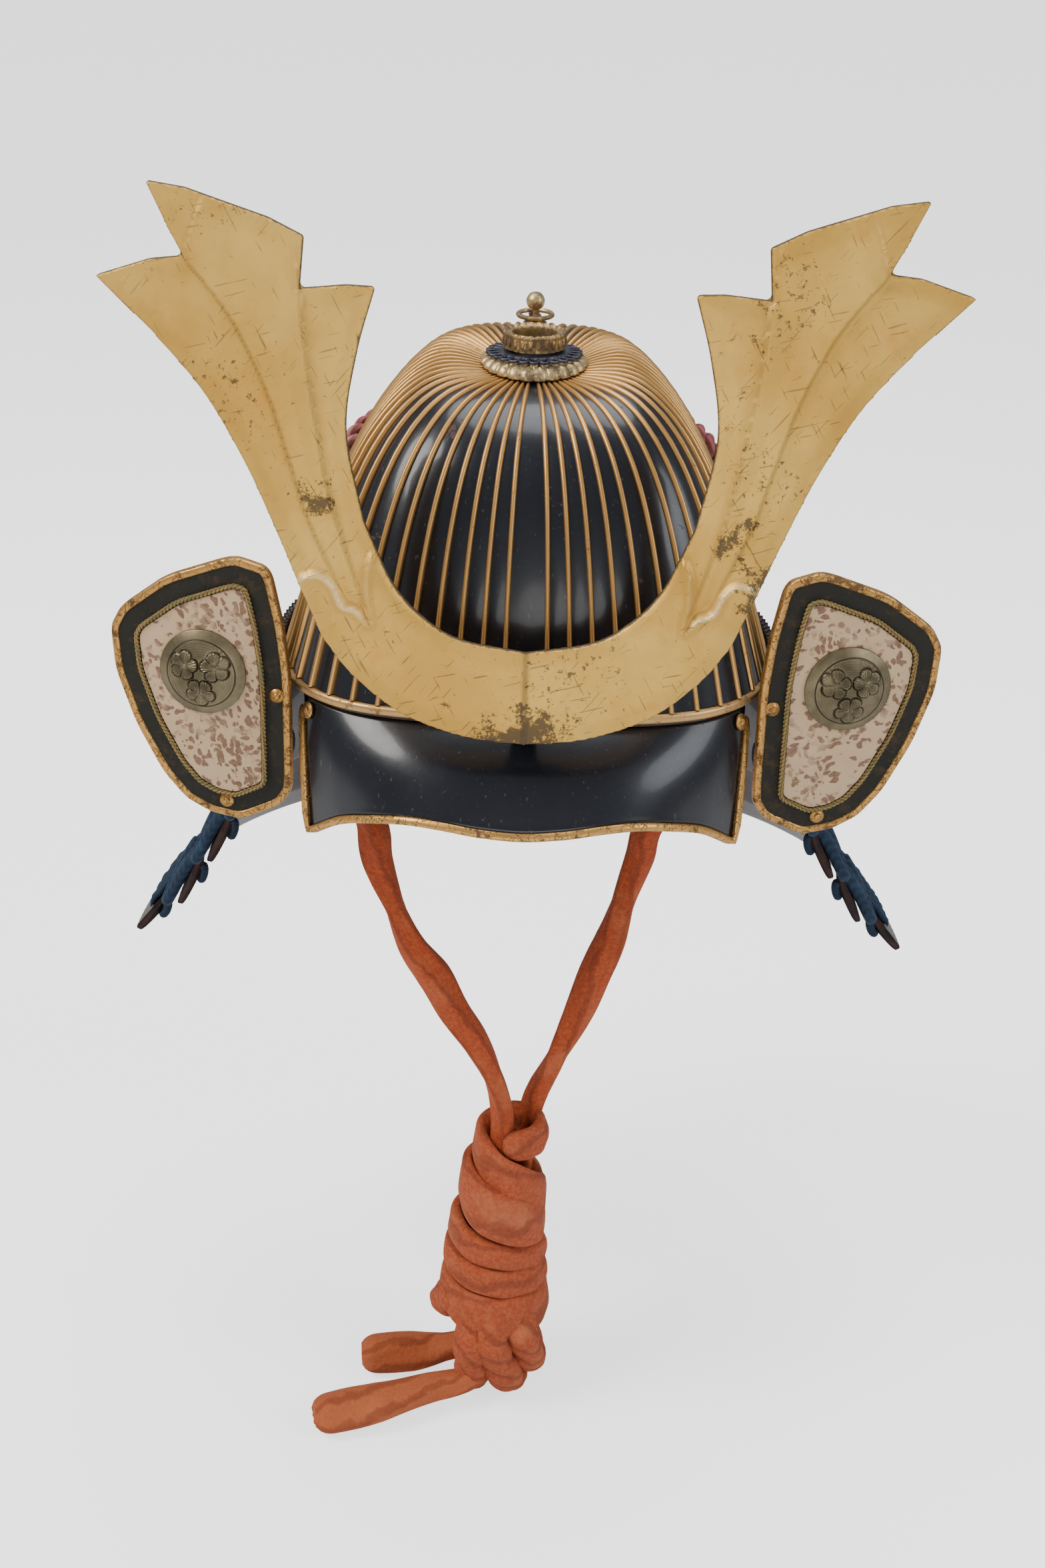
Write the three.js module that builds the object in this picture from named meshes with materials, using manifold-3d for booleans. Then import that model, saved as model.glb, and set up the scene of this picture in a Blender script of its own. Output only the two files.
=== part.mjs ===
// Ribbed samurai helmet with a gilt crest, a laced neck guard and a chin cord.
// Millimetres, +Z up, the brow faces -Y. The origin is the centre of the bowl's rim plane.
import * as THREE from "three";
import { mergeVertices } from "three/addons/utils/BufferGeometryUtils.js";
import Module from "manifold-3d";

const wasm = await Module();
wasm.setup();

// Clearances
const seatGap = 0.3; // between pieces that rest on each other
const cordGap = 1; // round a cord where a ring or the winding holds it

// Bowl
const bowlHalfWidth = 117;
const bowlFront = 106; // centre to rim at the brow
const bowlBack = 125; // centre to rim at the nape
const bowlHeight = 133; // rim plane to the crown hole's seat
const bowlWall = 2.5;
const rearSwell = 15; // how far the crown rises again behind its hole
const sideTaper = 0.36; // share of the plan lost from rim to crown at the sides
const endTaper = 0.22; // and at the brow and the nape
const sideShoulder = 5; // how square the shoulder is at the sides
const endShoulder = 3.4; // and at the brow and the nape
const browSquareness = 3.3; // how square the front half of the rim's plan is
const napeSquareness = 2.2; // and the rear half
const plateCount = 62;
const frontPlateWidth = 20;
const ribHeight = 3;
const ribWidth = 3.2;
const rimBandReach = 3.2; // how far the gilt rim stands out
const rimBandHeight = 5;

// Crown fitting, a chrysanthemum seat, a pierced collar and a beaded ring round the crown hole
const crownHoleRadius = 10.7;
const crownSeatRadius = 26;
const crownSeatHeight = 8;
const petalCount = 24;
const collarRadius = 23.5;
const collarThickness = 3;
const collarHoleCount = 22;
const collarHoleLength = 6.4;
const collarHoleWidth = 2.9;
const crownRingRadius = 15.8;
const crownRingHeight = 8;

// Visor
const visorSpan = 55; // degrees of the rim on each side of the brow
const visorHalfWidth = bowlHalfWidth - 16;
const visorReach = bowlFront + 32; // centre to the peak's edge
const visorDrop = 67; // rim plane to the visor's lower corners
const visorWall = 2.2;
const visorSwell = 4; // how far its face bellies out
const visorRimWidth = 4;
const visorRimThickness = 3.4;

// Crest
const crestHalfSpan = 183.7;
const crestHeight = 239.3; // its foot to its highest tips
const crestThickness = 6;
const crestLean = 6; // degrees, backwards
const crestForward = visorReach + 7; // centre to its face at the foot
const crestPostWidth = 14;
const crestPostThickness = 5;

// Neck guard
const lameWall = 2.4;
const lameOverlap = 7;
const lacingThickness = 2.4;
const lacingShare = 0.66; // share of each board that the lacing covers
const lameSteps = 22;

// Turnbacks
const turnbackRoot = bowlHalfWidth - 4; // centre plane to their inner edge
const turnbackForward = bowlFront - 24; // rim centre to their back face there
const turnbackSweep = 10; // degrees
const turnbackWidth = 81;
const turnbackHeight = 127;
const turnbackFoot = -67; // height of their lowest edge
const turnbackWall = 4;
const turnbackRimWidth = 3;
const panelInset = 11;
const panelThickness = 1.2;
const pipingRadius = 1.2;
const bossRadius = 21;
const bossHeight = 7;
const bossShare = 0.47; // its centre, across the turnback
const bossRise = 0.575; // and up it

// Rear fitting and its bow
const studShare = 0.8; // where it stands, from the rim to the crown hole
const studBallRadius = 4.6;
const studStemRadius = 1.6;
const studStemHeight = 7;
const rearRingRadius = 8.5;
const rearRingWire = 1.2;
const bowCordRadius = 4;
const tasselRadius = 9;
const tasselLength = 44;

// Chin cord
const chinCordRadius = 7;
const tailRadius = 11;
const ringWire = 1.5;
const ringSeat = 88; // degrees from the brow to the side rings
const ringDepth = 14; // how far inside the rim plan the rings hold the cord

const paints = {
  blackLacquer: { color: "#14161c", roughness: 0.28, metalness: 0.15 },
  gilt: { color: "#b98f4e", roughness: 0.42, metalness: 0.85 },
  goldLeaf: { color: "#d2a860", roughness: 0.45, metalness: 0.7 },
  darkCopper: { color: "#33343c", roughness: 0.5, metalness: 0.6 },
  borderLeather: { color: "#2b302b", roughness: 0.75, metalness: 0 },
  panelLeather: { color: "#cbb9a4", roughness: 0.8, metalness: 0 },
  twistedSilk: { color: "#9a8650", roughness: 0.8, metalness: 0 },
  bossBrass: { color: "#7d7563", roughness: 0.45, metalness: 0.8 },
  scaleLacquer: { color: "#1d1717", roughness: 0.35, metalness: 0.1 },
  blueSilk: { color: "#15304f", roughness: 0.85, metalness: 0 },
  pinkSilk: { color: "#b0626a", roughness: 0.85, metalness: 0 },
  chinCloth: { color: "#c04a22", roughness: 0.9, metalness: 0 },
};

const helmet = new THREE.Group();
const radians = THREE.MathUtils.degToRad;
const { smoothstep, lerp } = THREE.MathUtils;

function place(name, geometry, paint, parent = helmet) {
  const mesh = new THREE.Mesh(geometry, new THREE.MeshStandardMaterial(paints[paint]));
  mesh.name = name;
  parent.add(mesh);
  return mesh;
}

// Turns a closed skin inside out if its faces point inwards.
function outward(geometry) {
  const at = geometry.getAttribute("position");
  const index = geometry.index.array;
  const [a, b, c] = [new THREE.Vector3(), new THREE.Vector3(), new THREE.Vector3()];
  let volume = 0;
  for (let i = 0; i < index.length; i += 3) {
    a.fromBufferAttribute(at, index[i]);
    b.fromBufferAttribute(at, index[i + 1]);
    c.fromBufferAttribute(at, index[i + 2]);
    volume += a.dot(b.cross(c));
  }
  if (volume < 0) index.reverse();
  return geometry;
}

// Closed skin through rings of equally many points. A ring is a strip seen end on: its first half runs
// along one face and its second half back along the other, which closes the ends. An endless skin joins
// its last ring to its first.
function loft(rings, endless = false) {
  const count = rings[0].length;
  const index = [];
  const quad = (a, b, c, d) => index.push(a, b, c, a, c, d);
  rings.forEach((ring, row) => {
    if (row === rings.length - 1 && !endless) return;
    const low = row * count;
    const high = ((row + 1) % rings.length) * count;
    for (let i = 0; i < count; i++) {
      const j = (i + 1) % count;
      quad(low + i, low + j, high + j, high + i);
    }
  });
  if (!endless) {
    const last = (rings.length - 1) * count;
    for (let i = 0; i < count / 2 - 1; i++) {
      const across = count - 1 - i;
      quad(i, across, across - 1, i + 1);
      quad(last + i, last + i + 1, last + across - 1, last + across);
    }
  }
  const geometry = new THREE.BufferGeometry().setFromPoints(rings.flat());
  geometry.setIndex(index);
  return outward(geometry);
}

// Unit normal of a surface(u, v), from small steps along it.
function normalOf(surface, u, v) {
  const step = 1e-3;
  const along = surface(u + step, v).sub(surface(u - step, v));
  const across = surface(u, v + step).sub(surface(u, v - step));
  return along.cross(across).normalize();
}

// A plate of even thickness along a surface(u, v): u runs along it and v across it, both from 0 to 1.
function bentPlate(surface, columns, rows, thickness, offset = 0) {
  const rings = [];
  for (let column = 0; column <= columns; column++) {
    const faces = [[], []];
    for (let row = 0; row <= rows; row++) {
      const [u, v] = [column / columns, row / rows];
      const normal = normalOf(surface, u, v);
      const shift = [offset + thickness / 2, offset - thickness / 2];
      faces.forEach((face, side) => face.push(surface(u, v).addScaledVector(normal, shift[side])));
    }
    rings.push([...faces[0], ...faces[1].reverse()]);
  }
  return loft(rings);
}

function toSolid(geometry) {
  const bare = geometry.clone();
  bare.deleteAttribute("normal");
  bare.deleteAttribute("uv");
  const merged = mergeVertices(bare, 1e-3);
  return new wasm.Manifold(
    new wasm.Mesh({
      numProp: 3,
      vertProperties: merged.getAttribute("position").array,
      triVerts: new Uint32Array(merged.index.array),
    }),
  );
}

function toGeometry(solid) {
  const mesh = solid.getMesh();
  const geometry = new THREE.BufferGeometry();
  geometry.setAttribute("position", new THREE.BufferAttribute(mesh.vertProperties, 3));
  geometry.setIndex(new THREE.BufferAttribute(mesh.triVerts, 1));
  return geometry;
}

// A round tube along chosen points.
function tube(points, radius, sides, steps) {
  const section = new THREE.Shape().absarc(0, 0, radius, 0, 2 * Math.PI);
  return new THREE.ExtrudeGeometry(section, {
    steps,
    curveSegments: sides / 2,
    extrudePath: new THREE.CatmullRomCurve3(points),
  });
}

// A closed outline moved outwards by a distance, or inwards where it is negative.
function offsetOutline(outline, distance) {
  const turn = THREE.ShapeUtils.isClockWise(outline) ? -1 : 1;
  const edgeNormal = (a, b) => new THREE.Vector2(b.y - a.y, a.x - b.x).normalize().multiplyScalar(turn);
  return outline.map((point, i) => {
    const before = edgeNormal(outline.at(i - 1), point);
    const after = edgeNormal(point, outline[(i + 1) % outline.length]);
    const mitre = before.clone().add(after).normalize();
    return point.clone().addScaledVector(mitre, distance / mitre.dot(after));
  });
}

// Plan of the rim and of everything that follows it: the radius at an angle from the brow.
function planRadius(angle, halfWidth) {
  const facing = Math.cos(angle);
  const length = ((facing > 0 ? bowlFront : bowlBack) / bowlHalfWidth) * halfWidth;
  const squareness = facing > 0 ? browSquareness : napeSquareness;
  const across = Math.abs(Math.sin(angle)) / halfWidth;
  const along = Math.abs(facing) / length;
  return (across ** squareness + along ** squareness) ** (-1 / squareness);
}

function atAngle(angle, radius, height) {
  return new THREE.Vector3(radius * Math.sin(angle), -radius * Math.cos(angle), height);
}

// Bowl surface at an angle from the brow and a share of the way from rim to crown. It narrows upwards,
// has a square shoulder, and swells again behind the crown hole.
function bowlSurface(angle, share) {
  const sideways = Math.sin(angle) ** 2;
  const shoulder = lerp(endShoulder, sideShoulder, sideways);
  const taper = lerp(endTaper, sideTaper, sideways);
  const turn = (share * Math.PI) / 2;
  const rise = Math.sin(turn) ** (2 / shoulder);
  const spread = Math.cos(turn) ** (2 / shoulder);
  const swell = (rearSwell * (1 - Math.cos(angle))) / 2;
  const swellPeak = 0.6;
  const swellStart = 0.12;
  const bump = smoothstep(spread, swellStart, swellPeak) * (1 - smoothstep(spread, swellPeak, 1));
  const radius = planRadius(angle, bowlHalfWidth) * (1 - taper * rise) * spread;
  return atAngle(angle, radius, bowlHeight * rise + swell * bump);
}

function bowlNormal(angle, share) {
  const step = 1e-3;
  const inside = THREE.MathUtils.clamp(share, 2 * step, 1 - 3 * step);
  const along = bowlSurface(angle + step, inside).sub(bowlSurface(angle - step, inside));
  const up = bowlSurface(angle, inside + step).sub(bowlSurface(angle, inside - step));
  return along.cross(up).normalize();
}

// The ribs sink towards the crown, where they crowd.
function ribRise(share) {
  return ribHeight * lerp(1, 0.45, share);
}

function bowlPoint(angle, share, lift) {
  const point = bowlSurface(angle, share).addScaledVector(bowlNormal(angle, share), lift);
  if (share === 0) point.z = 0;
  return point;
}

// Shares of the way up at which the plates bend, outside and inside.
const bowlRows = [0, 0.18, 0.4, 0.58, 0.74, 0.88, 0.998];
const hollowRows = [0.99, 0.86, 0.66, 0.36, 0];

// The same point, moved out to the wall of the crown hole where it lies within.
function clearOfHole(point) {
  const away = Math.hypot(point.x, point.y);
  const stretch = Math.max(crownHoleRadius / away, 1);
  return new THREE.Vector3(point.x * stretch, point.y * stretch, point.z);
}

// Height of the rib tops at a radius from the crown hole's axis.
function heightAtRadius(angle, radius) {
  const tops = bowlRows.map((share) => clearOfHole(bowlPoint(angle, share, ribRise(share))));
  const away = tops.map((point) => Math.hypot(point.x, point.y));
  const row = away.findIndex((distance) => distance < radius);
  return THREE.MathUtils.mapLinear(radius, away[row], away[row - 1], tops[row].z, tops[row - 1].z);
}

// Radius of the bowl between its ribs at a height above the rim.
function radiusAtHeight(angle, height) {
  const crownShare = 0.75;
  const halvings = 24;
  let [low, high] = [0, crownShare];
  for (let i = 0; i < halvings; i++) {
    const middle = (low + high) / 2;
    if (bowlSurface(angle, middle).z < height) low = middle;
    else high = middle;
  }
  const point = bowlSurface(angle, low);
  return Math.hypot(point.x, point.y);
}

// Bowl of overlapping plates: each plate lies flat from the foot of one rib to the top of the next.
// A ring is one section of the wall, up its outside and down its inside.
function buildBowl() {
  const frontHalfAngle = Math.asin(frontPlateWidth / 2 / bowlFront);
  const pitch = (2 * Math.PI - 2 * frontHalfAngle) / (plateCount - 1);
  const ribAngle = ribWidth / bowlHalfWidth;
  const section = (angle, lift) => [
    ...bowlRows.map((share) => clearOfHole(bowlPoint(angle, share, lift(share)))),
    ...hollowRows.map((share) => clearOfHole(bowlPoint(angle, share, -bowlWall))),
  ];
  const rings = [];
  for (let rib = 0; rib < plateCount; rib++) {
    const angle = frontHalfAngle + rib * pitch;
    rings.push(section(angle, ribRise));
    rings.push(section(angle + ribAngle, () => 0));
  }
  place("bowl", loft(rings, true), "blackLacquer");
}

// Gilt rim under the bowl's edge, rounded outside.
function buildRimBand() {
  const steps = 36;
  const section = [
    { out: -bowlWall, down: 0 },
    { out: rimBandReach * 0.6, down: 0 },
    { out: rimBandReach, down: 0.35 },
    { out: rimBandReach, down: 0.65 },
    { out: rimBandReach * 0.6, down: 1 },
    { out: -bowlWall, down: 1 },
  ];
  const rings = Array.from({ length: steps }, (_, i) => {
    const angle = (i / steps) * 2 * Math.PI;
    const radius = planRadius(angle, bowlHalfWidth);
    return section.map(({ out, down }) => atAngle(angle, radius + out, -seatGap - rimBandHeight * down));
  });
  place("rim_band", loft(rings, true), "gilt");
}

// Crown fitting: the seat's foot follows the ribs, and its rim is scalloped into petals.
function buildCrownFitting() {
  const petalDepth = 1.2;
  const petalRounding = 1.6;
  const seatHoleRadius = crownHoleRadius + 1;
  const rings = Array.from({ length: 2 * petalCount }, (_, i) => {
    const angle = (i / petalCount) * Math.PI;
    const outer = crownSeatRadius - (i % 2) * petalDepth;
    const top = bowlHeight + crownSeatHeight;
    return [
      atAngle(angle, seatHoleRadius, heightAtRadius(angle, seatHoleRadius) + seatGap),
      atAngle(angle, outer, heightAtRadius(angle, outer) + seatGap),
      atAngle(angle, outer - petalRounding, top - petalDepth),
      atAngle(angle, seatHoleRadius, top),
    ];
  });
  place("tehen_base", loft(rings, true), "gilt");

  const round = (radius, sides) =>
    new THREE.EllipseCurve(0, 0, radius, radius).getPoints(sides).slice(0, -1);
  const collarEdge = 1.4;
  const collar = new THREE.Shape(round(collarRadius, collarHoleCount));
  collar.holes.push(new THREE.Path(round(crownHoleRadius, petalCount / 2).reverse()));
  const middle = collarRadius - collarEdge - collarHoleLength / 2;
  const loopSides = 6;
  for (let i = 0; i < collarHoleCount; i++) {
    const angle = (i / collarHoleCount) * 2 * Math.PI;
    const [x, y] = [middle * Math.cos(angle), middle * Math.sin(angle)];
    const [long, short] = [collarHoleLength / 2, collarHoleWidth / 2];
    const loop = new THREE.EllipseCurve(x, y, long, short, 0, 2 * Math.PI, true, angle);
    collar.holes.push(new THREE.Path(loop.getPoints(loopSides).slice(0, -1)));
  }
  const collarFoot = bowlHeight + crownSeatHeight + seatGap;
  const pierced = new THREE.ExtrudeGeometry(collar, {
    depth: collarThickness,
    bevelEnabled: false,
  });
  pierced.translate(0, 0, collarFoot);
  place("tehen_filigree", pierced, "darkCopper");

  const ringFoot = collarFoot + collarThickness + seatGap;
  const ringNeck = crownRingRadius * 0.94;
  const ringProfile = [
    { radius: crownHoleRadius, up: 0 },
    { radius: ringNeck, up: 0 },
    { radius: ringNeck, up: 0.55 },
    { radius: crownRingRadius, up: 0.8 },
    { radius: ringNeck, up: 1 },
    { radius: crownHoleRadius, up: 0.9 },
    { radius: crownHoleRadius, up: 0 },
  ].map(({ radius, up }) => new THREE.Vector2(radius, ringFoot + crownRingHeight * up));
  const ring = new THREE.LatheGeometry(ringProfile, petalCount);
  place("tehen_ring", ring.rotateX(Math.PI / 2), "gilt");
}

// Visor: columns of its lower edge, as shares of its span, half-width, reach and drop.
const visorEdge = [
  { share: 0, wide: 0, out: 1, down: 0.69 },
  { share: 0.2, wide: 0.2, out: 1, down: 0.665 },
  { share: 0.36, wide: 0.36, out: 0.985, down: 0.635 },
  { share: 0.52, wide: 0.52, out: 0.95, down: 0.635 },
  { share: 0.68, wide: 0.68, out: 0.89, down: 0.69 },
  { share: 0.85, wide: 0.85, out: 0.795, down: 0.8 },
  { share: 1, wide: 1, out: 0.68, down: 1 },
];

// The value of one of the table's columns at a share of the span.
function visorColumn(column, share) {
  const within = Math.min(share, 1);
  const row = Math.max(visorEdge.findIndex((entry) => entry.share >= within), 1);
  const [from, to] = [visorEdge[row - 1], visorEdge[row]];
  return THREE.MathUtils.mapLinear(within, from.share, to.share, from[column], to[column]);
}

const visorTop = -rimBandHeight - 2 * seatGap - visorWall / 2;

// Visor surface: u from one side to the other, v from the rim to the lower edge.
function visorSurface(u, v) {
  const side = 2 * u - 1;
  const share = Math.abs(side);
  const angle = radians(visorSpan) * side;
  const top = atAngle(angle, planRadius(angle, bowlHalfWidth), visorTop);
  const edge = new THREE.Vector3(
    Math.sign(side) * visorHalfWidth * visorColumn("wide", share),
    -visorReach * visorColumn("out", share),
    -visorDrop * visorColumn("down", share),
  );
  const point = top.lerp(edge, v);
  const belly = visorSwell * Math.SQRT1_2 * Math.sin(Math.PI * THREE.MathUtils.clamp(v, 0, 1));
  return point.add(new THREE.Vector3(0, -belly, belly));
}

// Section of the edging: shares of its width away from the visor, and of half its thickness.
const visorRimSection = [
  { reach: 0, lift: 1 },
  { reach: 0.75, lift: 1 },
  { reach: 1, lift: 0 },
  { reach: 0.75, lift: -1 },
  { reach: 0, lift: -1 },
  { reach: 0, lift: 0 },
];

function buildVisor() {
  const columns = 26;
  place("visor", bentPlate(visorSurface, columns, 2, visorWall), "blackLacquer");

  // Gilt edging down one side, along the lower edge and up the other side.
  const route = [];
  const sideRows = [0.1, 0.5, 0.9];
  sideRows.forEach((v) => route.push({ u: 0, v, out: -1, down: 0 }));
  route.push({ u: 0, v: 1, out: -0.8, down: 0.8 });
  for (let i = 1; i < columns; i++) route.push({ u: i / columns, v: 1, out: 0, down: 1 });
  route.push({ u: 1, v: 1, out: 0.8, down: 0.8 });
  [...sideRows].reverse().forEach((v) => route.push({ u: 1, v, out: 1, down: 0 }));
  const rings = route.map(({ u, v, out, down }) => {
    const step = 1e-3;
    const normal = normalOf(visorSurface, u, v);
    const sideways = visorSurface(u + step, v).sub(visorSurface(u - step, v)).normalize();
    const downward = normal.clone().cross(sideways).normalize();
    if (downward.z > 0) downward.negate();
    const away = sideways.multiplyScalar(out).add(downward.multiplyScalar(down)).normalize();
    const edge = visorSurface(u, v);
    const near = seatGap * (1.5 + Math.abs(out * down));
    const half = visorRimThickness / 2;
    return visorRimSection.map(({ reach, lift }) =>
      edge
        .clone()
        .addScaledVector(away, near + reach * visorRimWidth)
        .addScaledVector(normal, lift * half),
    );
  });
  place("visor_rim", loft(rings), "gilt");
}

// Crest half-outline, inner edge first, as shares of its half-span and height. Rows with curve true lie on
// one smooth curve with their neighbours.
const crestInner = [
  { side: 0, up: 0.178 },
  { side: 0.16, up: 0.2 },
  { side: 0.255, up: 0.245 },
  { side: 0.318, up: 0.3 },
  { side: 0.36, up: 0.365 },
];
const crestStem = [
  { side: 0.39, up: 0.418 },
  { side: 0.43, up: 0.577 },
  { side: 0.407, up: 0.712 },
  { side: 0.364, up: 0.831 },
];
const crestTips = [
  { side: 0.431, up: 0.833 },
  { side: 0.536, up: 0.825 },
  { side: 0.526, up: 0.914 },
  { side: 0.607, up: 0.944 },
  { side: 0.792, up: 0.99 },
  { side: 0.881, up: 1 },
  { side: 0.83, up: 0.918 },
  { side: 0.8, up: 0.875 },
  { side: 0.874, up: 0.869 },
  { side: 1, up: 0.838 },
];
const crestOuter = [
  { side: 0.873, up: 0.743 },
  { side: 0.758, up: 0.638 },
  { side: 0.664, up: 0.512 },
  { side: 0.593, up: 0.389 },
  { side: 0.547, up: 0.302 },
];
const crestKeel = [
  { side: 0.49, up: 0.2 },
  { side: 0.416, up: 0.127 },
  { side: 0.3, up: 0.057 },
  { side: 0.15, up: 0.014 },
  { side: 0, up: 0 },
];

function crestPoints(rows, mirror = 1) {
  return rows.map(({ side, up }) => new THREE.Vector2(mirror * crestHalfSpan * side, crestHeight * up));
}

function buildCrest() {
  const smooth = (points, divisions) => new THREE.SplineCurve(points).getPoints(divisions);
  const half = [
    ...smooth(crestPoints(crestInner), 7),
    ...smooth(crestPoints(crestStem), 7),
    ...crestPoints(crestTips),
    ...smooth(crestPoints(crestOuter), 8),
    ...smooth(crestPoints(crestKeel), 8),
  ];
  const mirrored = half.slice(1, -1).reverse();
  const outline = [...half, ...mirrored.map((point) => new THREE.Vector2(-point.x, point.y))];
  const board = new THREE.ExtrudeGeometry(new THREE.Shape(outline), {
    depth: crestThickness,
    bevelEnabled: false,
  });
  board.rotateX(Math.PI / 2).translate(0, crestThickness, 0);
  const crest = place("crest", board, "goldLeaf");
  crest.position.y = -crestForward;
  crest.rotation.x = -radians(crestLean);
}

// Hidden prong: it stands on the visor's brow and ends flat behind the crest.
function buildCrestPost() {
  const footShares = [0.3, 0.48];
  const foot = footShares.map((v) => {
    const point = visorSurface(0.5, v);
    const up = normalOf(visorSurface, 0.5, v);
    if (up.z < 0) up.negate();
    return point.addScaledVector(up, visorWall / 2 + seatGap);
  });
  const lean = radians(crestLean);
  // A point behind the leaning crest at a height, and a distance further back.
  const behind = (up, back) =>
    new THREE.Vector2(
      -crestForward + (crestThickness + seatGap + back) / Math.cos(lean) + up * Math.tan(lean),
      up,
    );
  const [low, high] = [0.03 * crestHeight, 0.15 * crestHeight];
  const side = [
    new THREE.Vector2(foot[1].y, foot[1].z),
    behind(low, 0),
    behind(high, 0),
    behind(high, crestPostThickness),
    behind(low, crestPostThickness),
    new THREE.Vector2(foot[0].y, foot[0].z),
  ];
  const prong = new THREE.ExtrudeGeometry(new THREE.Shape(side), {
    depth: crestPostWidth,
    bevelEnabled: false,
  });
  // The side view's two axes become Y and Z, and its depth becomes X.
  const swap = new THREE.Matrix4().makeBasis(
    new THREE.Vector3(0, 1, 0),
    new THREE.Vector3(0, 0, 1),
    new THREE.Vector3(1, 0, 0),
  );
  prong.applyMatrix4(swap).translate(-crestPostWidth / 2, 0, 0);
  place("crest_post", prong, "blackLacquer");
}

// Neck guard boards: how far each lower edge flares out past the bowl, its height, and the angle from
// the brow to its ends.
const lames = [
  { flare: 13, edge: -62, start: 56.3 },
  { flare: 26, edge: -92.5, start: 76.5 },
  { flare: 46, edge: -126, start: 83 },
  { flare: 65, edge: -159.5, start: 88.5 },
  { flare: 91, edge: -184, start: 93 },
].map((board) => ({ ...board, halfWidth: bowlHalfWidth + board.flare }));
const firstLameTop = -2;

// A board's upper edge lies outside the board above it, one overlap up.
function lameTop(number) {
  if (number === 0) {
    const clear = rimBandReach + seatGap + lameWall / 2;
    return { halfWidth: bowlHalfWidth + clear + seatGap, height: firstLameTop };
  }
  const above = lames[number - 1];
  const aboveTop = lameTop(number - 1);
  const slope = (above.halfWidth - aboveTop.halfWidth) / (aboveTop.height - above.edge);
  const height = above.edge + lameOverlap;
  const clear = (lameWall + 2 * seatGap) * Math.hypot(1, slope);
  return { halfWidth: above.halfWidth - slope * lameOverlap + clear, height };
}

function lameSurface(number) {
  const top = lameTop(number);
  const board = lames[number];
  const start = radians(board.start);
  return (u, v) => {
    const angle = lerp(start, 2 * Math.PI - start, u);
    const halfWidth = lerp(top.halfWidth, board.halfWidth, v);
    return atAngle(angle, planRadius(angle, halfWidth), lerp(top.height, board.edge, v));
  };
}

function buildNeckGuard() {
  lames.forEach((board, number) => {
    const surface = lameSurface(number);
    place(`neck_lame_${number + 1}`, bentPlate(surface, lameSteps, 1, lameWall), "scaleLacquer");
    const endInset = 0.004;
    const laced = (u, v) => surface(lerp(endInset, 1 - endInset, u), v * lacingShare);
    const outside = normalOf(surface, 0.5, 0.5).y > 0 ? 1 : -1;
    const offset = outside * (lameWall / 2 + 2 * seatGap + lacingThickness / 2);
    place(`lacing_${number + 1}`, bentPlate(laced, lameSteps, 1, lacingThickness, offset), "blueSilk");
  });
}

// Turnback outline, as shares of its width and height from its inner lower corner.
const turnbackOutline = [
  { across: 0, up: 0.13 },
  { across: 0, up: 0.57 },
  { across: 0.035, up: 0.77 },
  { across: 0.1, up: 0.97 },
  { across: 0.28, up: 1 },
  { across: 0.67, up: 0.905 },
  { across: 0.93, up: 0.78 },
  { across: 0.99, up: 0.71 },
  { across: 0.975, up: 0.55 },
  { across: 0.87, up: 0.345 },
  { across: 0.72, up: 0.157 },
  { across: 0.59, up: 0.06 },
  { across: 0.45, up: 0.015 },
  { across: 0.28, up: 0 },
  { across: 0.06, up: 0.07 },
];

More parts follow.
